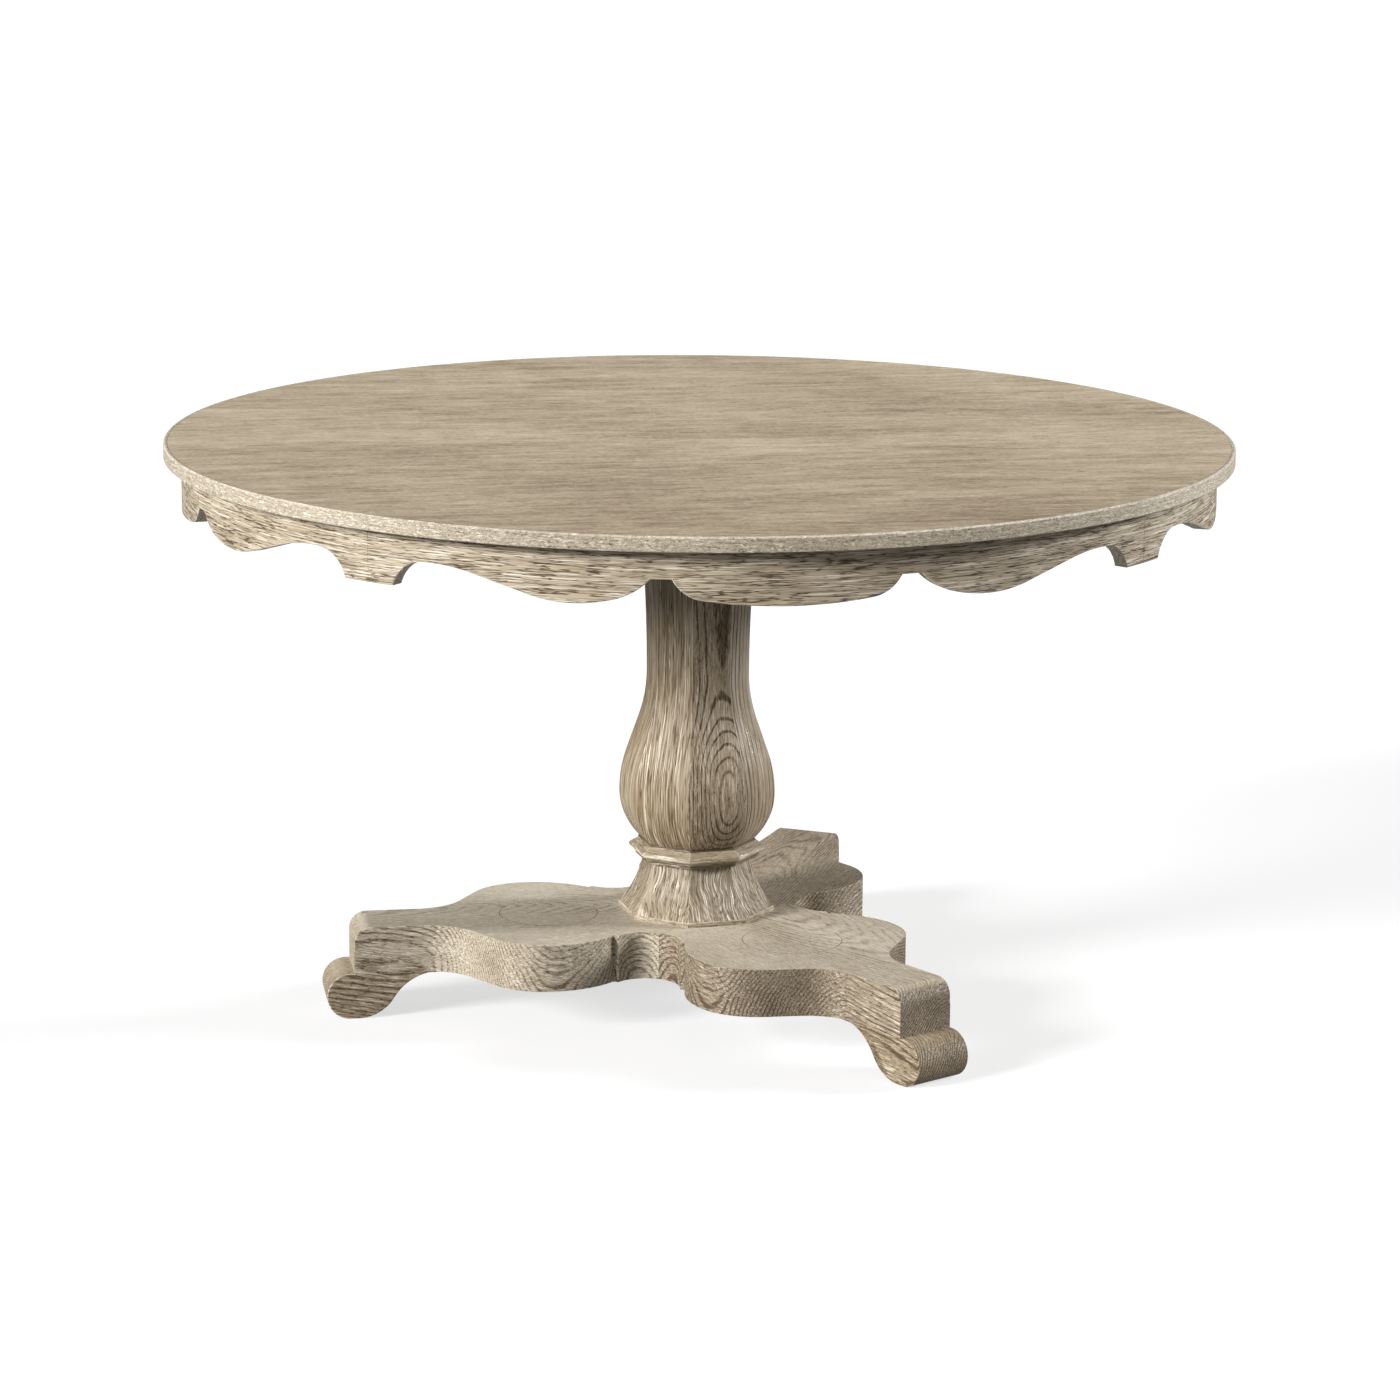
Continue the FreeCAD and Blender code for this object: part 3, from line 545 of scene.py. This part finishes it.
collar_section = [(COLLAR_BORE_FLAT, COLLAR_TOP), (COLLAR_BORE_FLAT, PLINTH_TOP),
                  (COLLAR_STEP[0], PLINTH_TOP), COLLAR_STEP, (HOLLOW_START_FLAT, COLLAR_STEP[1])]
heading = bend(collar_section, HOLLOW_START_SLOPE, HOLLOW_RADIUS, -HOLLOW_TURN, steps=8)
nose_start = len(collar_section)
bend(collar_section, heading, NOSE_RADIUS, NOSE_TURN, steps=14)
collar_section += [COLLAR_BACK, (COLLAR_BACK[0], COLLAR_TOP)]
# The nose is painted lighter: rubbed wear with a painted highlight.
collar_wear_and_highlight = range(nose_start, nose_start + NOSE_WEAR_AND_HIGHLIGHT)
# Wax with painted shade: the step, the hollow under the nose, the fillet and the ring where the column stands
# are painted darker.
collar_wax_and_shade = STEP_AND_HOLLOW_WAX_AND_SHADE + (len(collar_section) - 2, len(collar_section) - 1)
collar_oak = oak("collar_oak", COLLAR_TONES, rings=0.14, ring_gap=4.0, pores=0.38, lime=0.30, clouds=0.14,
                 shade=0.54, edge=0.30, smooth=0.30, gloss=0.5)
for k in range(SIDES):
    face_angle = FIRST_FACE + FACE_STEP * k
    moulding = eighth("collar_side_%d" % (k + 1), collar_section, face_angle,
                      worn_and_highlight_lines=collar_wear_and_highlight, wax_and_shade_lines=collar_wax_and_shade)
    along_the_side(moulding, face_angle, COLLAR_LOG_STEP * k + COLLAR_LOG_START)
    place_piece(moulding, collar_oak, "collar_oak", "collar_mouldings")

# ---------------------------------------------------------------- column
# Eight oak staves coopered round a hollow: a swelling bulb under a long neck.  The grain runs
# up each stave and opens into ovals where the bulb was shaped through the growth rings.

COLUMN_TOP = 704.3
COLUMN_BORE_FLAT = 40.0
BULB_FOOT_FLAT = 69.8
BULB_FLAT = 94.7
BULB_HEIGHT = 281.0
BULB_TOP_RADIUS = 179.0
SHOULDER_SLOPE = 17.9
SHOULDER_STEPS = 6
NECK_FLAT = 62.0
NECK_BEND_RADIUS = 200.0
NECK_FLARE_RADIUS = 2200.0
# Painted light: the staves are painted paler up the neck between these two heights, in millimetres, where the
# apron and top shade it.
BULB_PAINTED_LIGHT = (400.0, 520.0, -0.10)
RIBBED_PAINTED_LIGHT = (370.0, 480.0, -0.24)
COLUMN_LOG_STEP = 1500.0
PLAIN_TONES = ((0.070, 0.043, 0.019), (0.250, 0.186, 0.110), (0.580, 0.520, 0.415))
RIBBED_TONES = ((0.070, 0.043, 0.019), (0.290, 0.218, 0.132), (0.620, 0.560, 0.450))
FIGURED_TONES = ((0.050, 0.031, 0.015), (0.248, 0.186, 0.114), (0.500, 0.435, 0.340))
STAVE_HEARTS = ((160.0, -20.0), (-140.0, 30.0), (120.0, -150.0), (5.0, -120.0),
                (-130.0, -20.0), (110.0, -40.0), (-170.0, -30.0), (-17.0, -108.0))

bulb_rise, bulb_swell = BULB_HEIGHT - COLLAR_TOP, BULB_FLAT - BULB_FOOT_FLAT
lower_bulb = (bulb_rise ** 2 + bulb_swell ** 2) / (2 * bulb_swell)
lower_turn = math.degrees(math.asin(bulb_rise / lower_bulb))
column_section = [(BULB_FOOT_FLAT, COLLAR_TOP)]
heading = bend(column_section, 90.0 - lower_turn, lower_bulb, lower_turn, steps=20)
heading = bend(column_section, heading, BULB_TOP_RADIUS, SHOULDER_SLOPE, steps=14)
shoulder = math.radians(SHOULDER_SLOPE)
shoulder_in = column_section[-1][0] - NECK_FLAT - NECK_BEND_RADIUS * (1 - math.cos(shoulder))
shoulder_up = shoulder_in / math.tan(shoulder)
for k in range(SHOULDER_STEPS):
    x, z = column_section[-1]
    column_section.append((x - shoulder_in / SHOULDER_STEPS, z + shoulder_up / SHOULDER_STEPS))
heading = bend(column_section, heading, NECK_BEND_RADIUS, -SHOULDER_SLOPE, steps=14)
neck_flare = math.degrees(math.asin((COLUMN_TOP - column_section[-1][1]) / NECK_FLARE_RADIUS))
bend(column_section, heading, NECK_FLARE_RADIUS, -neck_flare, steps=14)
column_section += [(COLUMN_BORE_FLAT, COLUMN_TOP), (COLUMN_BORE_FLAT, COLLAR_TOP)]

column_plain = oak("column_oak_plain", PLAIN_TONES, rings=0.14, ring_gap=3.6, wander=2.0, pores=0.52,
                   pore_length=90.0, depth=0.05, lime=0.34, clouds=0.08, edge=0.20, painted_light_by_height=BULB_PAINTED_LIGHT,
                   relief=0.45)
column_ribbed = oak("column_oak_ribbed", RIBBED_TONES, rings=0.50, ring_gap=9.5, ring_width=0.4, wander=3.0,
                    pores=0.40, pore_length=90.0, depth=0.05, lime=0.40, clouds=0.08, edge=0.20,
                    painted_light_by_height=RIBBED_PAINTED_LIGHT, relief=0.6, smooth=0.30, gloss=0.4)
column_figured = oak("column_oak_figured", FIGURED_TONES, rings=0.46, ring_gap=5.5, ring_width=0.25,
                     wander=3.0, pores=0.44, pore_length=24.0, depth=0.2, lime=0.34, clouds=0.16, edge=0.22,
                     painted_light_by_height=BULB_PAINTED_LIGHT, relief=0.6, smooth=0.36)
stave_oaks = (column_ribbed, column_plain, column_plain, column_figured) * 2
for k in range(SIDES):
    stave = eighth("column_face_%d" % (k + 1), column_section, FIRST_FACE + FACE_STEP * k,
                   COLUMN_LOG_STEP * k, STAVE_HEARTS[k])
    place_piece(stave, stave_oaks[k], "column_oak", "column_stave_%d" % (k + 1))
for name in ("column_top_block", "column_bottom_block"):
    dress(name, core_oak)

# ---------------------------------------------------------------- head plate and bearers
# An eight-sided plate on the column and two long bearers carry the top.  They are plain
# sawn hardwood, screwed and bolted up, and are seen only from below.

BEARER_TONES = ((0.12, 0.08, 0.045), (0.30, 0.235, 0.150), (0.46, 0.38, 0.27))
BRASS = (0.72, 0.52, 0.24)
BRASS_TARNISH = (0.20, 0.13, 0.06)
BLACKENED = (0.05, 0.05, 0.052)

frame_oak = oak("bearer_oak", BEARER_TONES, rings=0.20, pores=0.26, lime=0.04, clouds=0.14,
                log=(90.0, 0.0, (300.0, -80.0, 550.0)))
for name in ("head_plate", "top_bearer_1", "top_bearer_2"):
    dress(name, frame_oak)
for name in ("head_bolts", "head_bolt_washers"):
    dress(name, zinc)
dress("bearer_screws", metal("blackened_steel", BLACKENED, 0.46))
dress("threaded_inserts", metal("insert_brass", BRASS, 0.36, BRASS_TARNISH))

# ---------------------------------------------------------------- tie rod
# One threaded rod pulls the head plate, column, plinth, legs and base plate together, with
# a nut and a washer at each end.

for name in ("tie_rod", "tie_rod_washers", "tie_rod_nuts"):
    dress(name, zinc)

# ---------------------------------------------------------------- apron
# Four curved oak quarters, sawn below to lobes, notches and brackets, and butted in pairs on
# glue blocks.  The sawn edge is eased by hand, so it shows as a thin pale line.

APRON_RADIUS = 663.5
APRON_THICKNESS = 18.5
APRON_TOP = 732.3
LOBE_BOTTOM = 664.8
LOBE_RADIUS = 750.0
LOBE_TURN = 7.7
LOBE_END_RADIUS = 48.0
NOTCH_TOP = 696.5
SIDE_LOBE = 254.8
SIDE_LOBE_RADIUS = 205.0
SIDE_LOBE_TURN = 14.8
SIDE_LOBE_END_RADIUS = 87.0
OGEE_SLOPE = 15.5
OGEE_RADII = (190.0, 232.0)
CREST = 698.5
COVE_START = 440.0
COVE_RADIUS = 47.0
BRACKET_BOTTOM = 665.8
JOINT_GAP = 0.25
APRON_EASE = 0.8
# Depth of the strip under the lipping that is painted darker, as the lipping's painted shadow.
PAINTED_SHADOW_STRIP = 1.8
SHORTEST_STEP = 0.05
EASED_SIDES = (2, 3, 4)
APRON_LOG_MIDDLE = 700.0
APRON_LOG_DEPTH = 55.0
APRON_TONES = ((0.072, 0.048, 0.027), (0.405, 0.332, 0.232), (0.770, 0.720, 0.610))


def turn_to_rise(radius, heading, rise):
    """How far a line must turn left along an arc, from its heading, to climb by rise."""
    return math.degrees(math.acos(math.cos(math.radians(heading)) - rise / radius)) - heading


# Half a quarter's lower edge, from its middle out to its end, as (distance round, height).
half_edge = [(0.0, LOBE_BOTTOM)]
heading = bend(half_edge, 0.0, LOBE_RADIUS, LOBE_TURN, steps=12)
bend(half_edge, heading, LOBE_END_RADIUS,
     turn_to_rise(LOBE_END_RADIUS, heading, NOTCH_TOP - half_edge[-1][1]), steps=12)
side_lobe = [(SIDE_LOBE, LOBE_BOTTOM)]
heading = bend(side_lobe, 180.0, SIDE_LOBE_RADIUS, -SIDE_LOBE_TURN, steps=8)
bend(side_lobe, heading, SIDE_LOBE_END_RADIUS,
     -turn_to_rise(SIDE_LOBE_END_RADIUS, SIDE_LOBE_TURN, NOTCH_TOP - side_lobe[-1][1]), steps=12)
half_edge += side_lobe[::-1]
ogee = math.radians(OGEE_SLOPE)
ogee_rise = CREST - LOBE_BOTTOM - sum(OGEE_RADII) * (1 - math.cos(ogee))
heading = bend(half_edge, 0.0, OGEE_RADII[0], OGEE_SLOPE, steps=8)
x, z = half_edge[-1]
half_edge.append((x + ogee_rise / math.tan(ogee), z + ogee_rise))
bend(half_edge, heading, OGEE_RADII[1], -OGEE_SLOPE, steps=8)
half_edge.append((COVE_START, CREST))
bend(half_edge, 0.0, COVE_RADIUS, -turn_to_rise(COVE_RADIUS, 0.0, CREST - BRACKET_BOTTOM), steps=14)
quarter_half = math.radians(45.0) * APRON_RADIUS
half_edge.append((quarter_half - JOINT_GAP, BRACKET_BOTTOM))
whole_edge = [(-s, z) for s, z in half_edge[:0:-1]] + half_edge
apron_edge = whole_edge[:1]
for before, here in zip(whole_edge, whole_edge[1:]):
    if math.dist(before, here) > SHORTEST_STEP:
        apron_edge.append(here)

apron_rows = []
for k, (s, z) in enumerate(apron_edge):
    before, after = apron_edge[max(k - 1, 0)], apron_edge[min(k + 1, len(apron_edge) - 1)]
    ds, dz = after[0] - before[0], after[1] - before[1]
    size = math.hypot(ds, dz)
    eased_s, eased_z = s - dz / size * APRON_EASE, z + ds / size * APRON_EASE
    if k in (0, len(apron_edge) - 1):
        eased_s, eased_z = s, z + APRON_EASE
    inner = APRON_RADIUS - APRON_THICKNESS
    apron_rows.append([(s, APRON_TOP, APRON_RADIUS), (s, APRON_TOP - PAINTED_SHADOW_STRIP, APRON_RADIUS),
                       (eased_s, eased_z, APRON_RADIUS), (s, z, APRON_RADIUS - APRON_EASE),
                       (s, z, inner + APRON_EASE), (eased_s, eased_z, inner), (s, APRON_TOP, inner)])
row_starts = range(0, (len(apron_rows) - 1) * len(apron_rows[0]), len(apron_rows[0]))
apron_oak = oak("apron_oak", APRON_TONES, rings=0.06, ring_gap=5.0, wander=3.0, pores=0.64, pore_length=58.0,
                lime=0.34, clouds=0.07, edge=0.30)
for quarter in range(1, 5):
    flat_points, faces = lofted(apron_rows)
    points = [(radius * math.cos(s / APRON_RADIUS), radius * math.sin(s / APRON_RADIUS), z)
              for s, z, radius in flat_points]
    grain = [(s + 2 * quarter_half * quarter, z - APRON_LOG_MIDDLE, radius - APRON_RADIUS + APRON_LOG_DEPTH)
             for s, z, radius in flat_points]
    number = quarter % 4 + 1
    # The strip just under the lipping is painted darker: a painted shadow of the lipping on the apron.
    piece = make_piece("apron_%d" % number, spin(points, 90 * quarter), faces, grain,
                       [start + side for start in row_starts for side in EASED_SIDES], row_starts, sharp=24)
    place_piece(piece, apron_oak, "apron_oak", "apron_quarter_%d" % number)
dress("apron_joint_blocks", frame_oak)

# ---------------------------------------------------------------- tabletop
# A round board faced with oak veneer, its grain all one way, under a grey-brown glaze wiped
# on by hand.  A solid oak lipping goes round the edge in four lengths, its top arris bevelled.

TABLE_HEIGHT = 751.3
TOP_RADIUS = 685.9
TOP_THICKNESS = 19.0
TOP_STEPS = 288
BOARD_RADIUS = 681.0
VENEER = 1.0
VENEER_TRIM = 0.05
VENEER_RINGS = (0.98, 0.9, 0.75, 0.5, 0.25)
JOINT_LINE = 0.5
LIPPING_UNDER = TABLE_HEIGHT - TOP_THICKNESS
LIPPING_BEVEL = 2.0
LIPPING_UNDER_ARRIS = 1.0
LIPPING_LOG_MIDDLE = 700.0
LIPPING_LOG_DEPTH = 40.0
VENEER_TONES = ((0.200, 0.145, 0.092), (0.402, 0.324, 0.222), (0.590, 0.500, 0.368))
CORE_TONES = ((0.30, 0.20, 0.11), (0.42, 0.31, 0.19), (0.52, 0.41, 0.28))
BACKING_TONES = ((0.14, 0.095, 0.055), (0.30, 0.235, 0.155), (0.46, 0.38, 0.27))
LIPPING_TONES = ((0.100, 0.072, 0.046), (0.430, 0.368, 0.276), (0.780, 0.730, 0.630))


def glazed_veneer(name, tones):
    """Sanded veneer under a wiped glaze: long soft streaks, small dark ticks, slow brown clouds."""
    glaze = Finish(name)
    log = glaze.add("Attribute", {}, out="Vector", attribute_name="grain")
    sway = glaze.add("TexNoise", {"Vector": glaze.scaled(log, (1.6, 4.0, 4.0)), "Scale": 1.0, "Detail": 2.0},
                     out="Color")
    bent = glaze.add("VectorMath", {0: log, 1: glaze.scaled(sway, (0.0, 0.05, 0.0))}, operation="ADD")
    broad = glaze.swing(bent, (2.2, 9.0, 9.0), 3.0)
    streak = glaze.noise(bent, (5.0, 40.0, 40.0), 4.0, 0.65)
    streak_swing = glaze.total(streak, -0.5)
    fine = glaze.noise(bent, (24.0, 100.0, 100.0), 4.0, 0.75)
    speckle = glaze.swing(bent, (130.0, 230.0, 230.0), 3.0, 0.8)
    cut = glaze.size_of(glaze.swing(bent, (7.0, 62.0, 62.0), 2.0, 0.6))
    ticks = glaze.times(glaze.window(cut, 0.03, 0.0), glaze.window(streak, 0.60, 0.42))
    cloud = glaze.swing(log, (3.4, 6.0, 6.0), 3.0, 0.55, 0.5)
    # Painted shade: the top is painted darker towards its front, in place of the sheen that lightens its far
    # side.
    side = glaze.window(glaze.add("SeparateXYZ", {0: log}, out="Y"), -0.15, -0.66)
    arris = glaze.add("Attribute", {}, out="Fac", attribute_name="arris")
    tone = glaze.total(glaze.times(broad, 0.50), glaze.times(streak_swing, 0.80),
                       glaze.times(glaze.total(fine, -0.5), 1.25), glaze.times(speckle, 1.3),
                       glaze.times(cloud, 0.75), glaze.times(ticks, -0.20), glaze.times(side, -0.17),
                       glaze.total(glaze.times(arris, 0.7), 0.52))
    rough = glaze.total(glaze.times(streak_swing, -0.3), 0.46, glaze.times(ticks, 0.15))
    height = glaze.total(glaze.times(fine, 0.6), glaze.times(ticks, -0.5))
    bump = glaze.add("Bump", {"Height": height, "Strength": 0.10, "Distance": 0.5 * MM})
    return glaze.done(Base_Color=glaze.colour(tone, tones, body_at=0.5), Roughness=rough, Normal=bump,
                      Specular_IOR_Level=0.4)


veneer_rims = [(BOARD_RADIUS - VENEER_TRIM, TABLE_HEIGHT - VENEER),
               (BOARD_RADIUS - VENEER_TRIM, TABLE_HEIGHT - JOINT_LINE),
               (BOARD_RADIUS - JOINT_LINE, TABLE_HEIGHT)]
veneer_rims += [(BOARD_RADIUS * share, TABLE_HEIGHT) for share in VENEER_RINGS]
points, faces = turned_disc(veneer_rims, TOP_STEPS)
veneer = make_piece("top_veneer", points, faces, [(x, y, z - TABLE_HEIGHT) for x, y, z in points],
                    hollows=range(TOP_STEPS, 2 * TOP_STEPS), sharp=20)
place_piece(veneer, glazed_veneer("top_veneer_oak", VENEER_TONES), "top_veneer", "top_face_veneer")

core_board = oak("core_board", CORE_TONES, rings=0.05, pores=0.10, lime=0.02, clouds=0.08,
                 log=(0.0, 0.0, (0.0, 0.0, 400.0)))
backing = oak("backing_veneer", BACKING_TONES, rings=0.10, ring_gap=14.0, pores=0.22, lime=0.05, clouds=0.16,
              log=(0.0, 0.0, (200.0, 100.0, 450.0)))
dress("top_core_board", core_board)
dress("top_backing_veneer", backing)

lipping_section = [(BOARD_RADIUS, LIPPING_UNDER), (TOP_RADIUS - LIPPING_UNDER_ARRIS, LIPPING_UNDER),
                   (TOP_RADIUS, LIPPING_UNDER + LIPPING_UNDER_ARRIS),
                   (TOP_RADIUS, TABLE_HEIGHT - LIPPING_BEVEL), (TOP_RADIUS - LIPPING_BEVEL, TABLE_HEIGHT),
                   (BOARD_RADIUS + JOINT_LINE, TABLE_HEIGHT), (BOARD_RADIUS, TABLE_HEIGHT - JOINT_LINE)]
BEVEL_SIDE = 3
lipping_steps = TOP_STEPS // 4
lipping_oak = oak("lipping_oak", LIPPING_TONES, rings=0.05, pores=0.34, pore_length=6.0, lime=0.28,
                  clouds=0.14)
for quarter in range(4):
    rows, grain = [], []
    for k in range(lipping_steps + 1):
        a = math.radians(45.0 + 90.0 * k / lipping_steps)
        along = (a + math.pi / 2 * quarter) * TOP_RADIUS
        rows.append([(radius * math.cos(a), radius * math.sin(a), height)
                     for radius, height in lipping_section])
        grain += [(along, height - LIPPING_LOG_MIDDLE, radius - TOP_RADIUS + LIPPING_LOG_DEPTH)
                  for radius, height in lipping_section]
    points, faces = lofted(rows)
    # The bevel is painted paler: a rubbed arris, with a painted highlight where it catches the light.
    bevel = [k * len(lipping_section) + BEVEL_SIDE for k in range(lipping_steps)]
    lipping = make_piece("edge_lipping_%d" % (quarter + 1), spin(points, 90 * quarter), faces, grain, bevel,
                         sharp=24)
    place_piece(lipping, lipping_oak, "edge_lipping", "top_edge_lipping_%d" % (quarter + 1))

# ---------------------------------------------------------------- studio
# A plain pale floor and backdrop, a broad key light to the left and a weaker one to the
# right.  The camera stands a little above the top and looks down at the table.

STUDIO_REACH = 60.0
STUDIO_HEIGHT = 40.0
FLOOR_WHITE, FLOOR_GLOW = 0.35, 0.66
BACKDROP_WHITE, BACKDROP_GLOW = 0.05, 1.0
SKY_STRENGTH = 0.25
LENS_LENGTH = 118.65
SENSOR_WIDTH = 36.0
FARTHEST_SEEN = 200.0
CAMERA_PLACE = (-0.9289, -5.7862, 1.7529)
CAMERA_PAN, CAMERA_TILT, CAMERA_ROLL = -9.151, 77.022, 0.446


def studio_surface(name, points, faces, white, glow):
    """A part of the studio that is seen, but throws no light back on the table."""
    mesh = bpy.data.meshes.new(name)
    mesh.from_pydata(points, [], faces)
    surface = bpy.data.objects.new(name, mesh)
    bpy.context.scene.collection.objects.link(surface)
    paint = Finish(name + "_paint")
    speckle = paint.add("TexNoise", {"Scale": 40.0, "Detail": 2.0})
    matt = paint.add("MapRange", {"Value": speckle, "To Min": 0.82, "To Max": 0.95})
    mesh.materials.append(paint.done(Base_Color=(white, white, white, 1.0), Roughness=matt,
                                     Specular_IOR_Level=0.1, Emission_Color=(1.0, 1.0, 1.0, 1.0),
                                     Emission_Strength=glow))
    surface.visible_diffuse = False
    surface.visible_glossy = False
    return surface


corners = [(x * STUDIO_REACH, y * STUDIO_REACH) for x, y in ((-1, -1), (1, -1), (1, 1), (-1, 1))]
studio_surface("studio_floor", [(x, y, 0.0) for x, y in corners], [(0, 1, 2, 3)], FLOOR_WHITE, FLOOR_GLOW)
backdrop = studio_surface("studio_backdrop", [(x, y, z) for z in (0.0, STUDIO_HEIGHT) for x, y in corners],
                          band(0, len(corners), len(corners)), BACKDROP_WHITE, BACKDROP_GLOW)
backdrop.visible_shadow = False


def soft_light(name, azimuth, elevation, strength, spread):
    """A broad, distant softbox seen from the table at an azimuth and an elevation, in degrees."""
    lamp = bpy.data.lights.new(name, "SUN")
    lamp.energy = strength
    lamp.angle = math.radians(spread)
    holder = bpy.data.objects.new(name, lamp)
    bpy.context.scene.collection.objects.link(holder)
    a, e = math.radians(azimuth), math.radians(elevation)
    away = Vector((math.cos(a) * math.cos(e), math.sin(a) * math.cos(e), math.sin(e)))
    holder.rotation_mode = "QUATERNION"
    holder.rotation_quaternion = away.to_track_quat("Z", "Y")


soft_light("key_left", azimuth=204.0, elevation=21.0, strength=5.5, spread=18.0)
soft_light("side_right", azimuth=2.0, elevation=20.0, strength=3.5, spread=16.0)

world = bpy.data.worlds.new("studio")
world.use_nodes = True
sky = world.node_tree.nodes["Background"]
sky.inputs["Color"].default_value = (1.0, 1.0, 1.0, 1.0)
sky.inputs["Strength"].default_value = SKY_STRENGTH
bpy.context.scene.world = world
bpy.context.scene.view_settings.view_transform = "Standard"

lens = bpy.data.cameras.new("camera")
lens.sensor_width = SENSOR_WIDTH
lens.lens = LENS_LENGTH
lens.clip_end = FARTHEST_SEEN
camera = bpy.data.objects.new("camera", lens)
bpy.context.scene.collection.objects.link(camera)
pan, tilt, roll = (Matrix.Rotation(math.radians(angle), 4, axis)
                   for angle, axis in ((CAMERA_PAN, "Z"), (CAMERA_TILT, "X"), (CAMERA_ROLL, "Z")))
camera.matrix_world = Matrix.Translation(CAMERA_PLACE) @ pan @ tilt @ roll
bpy.context.scene.camera = camera
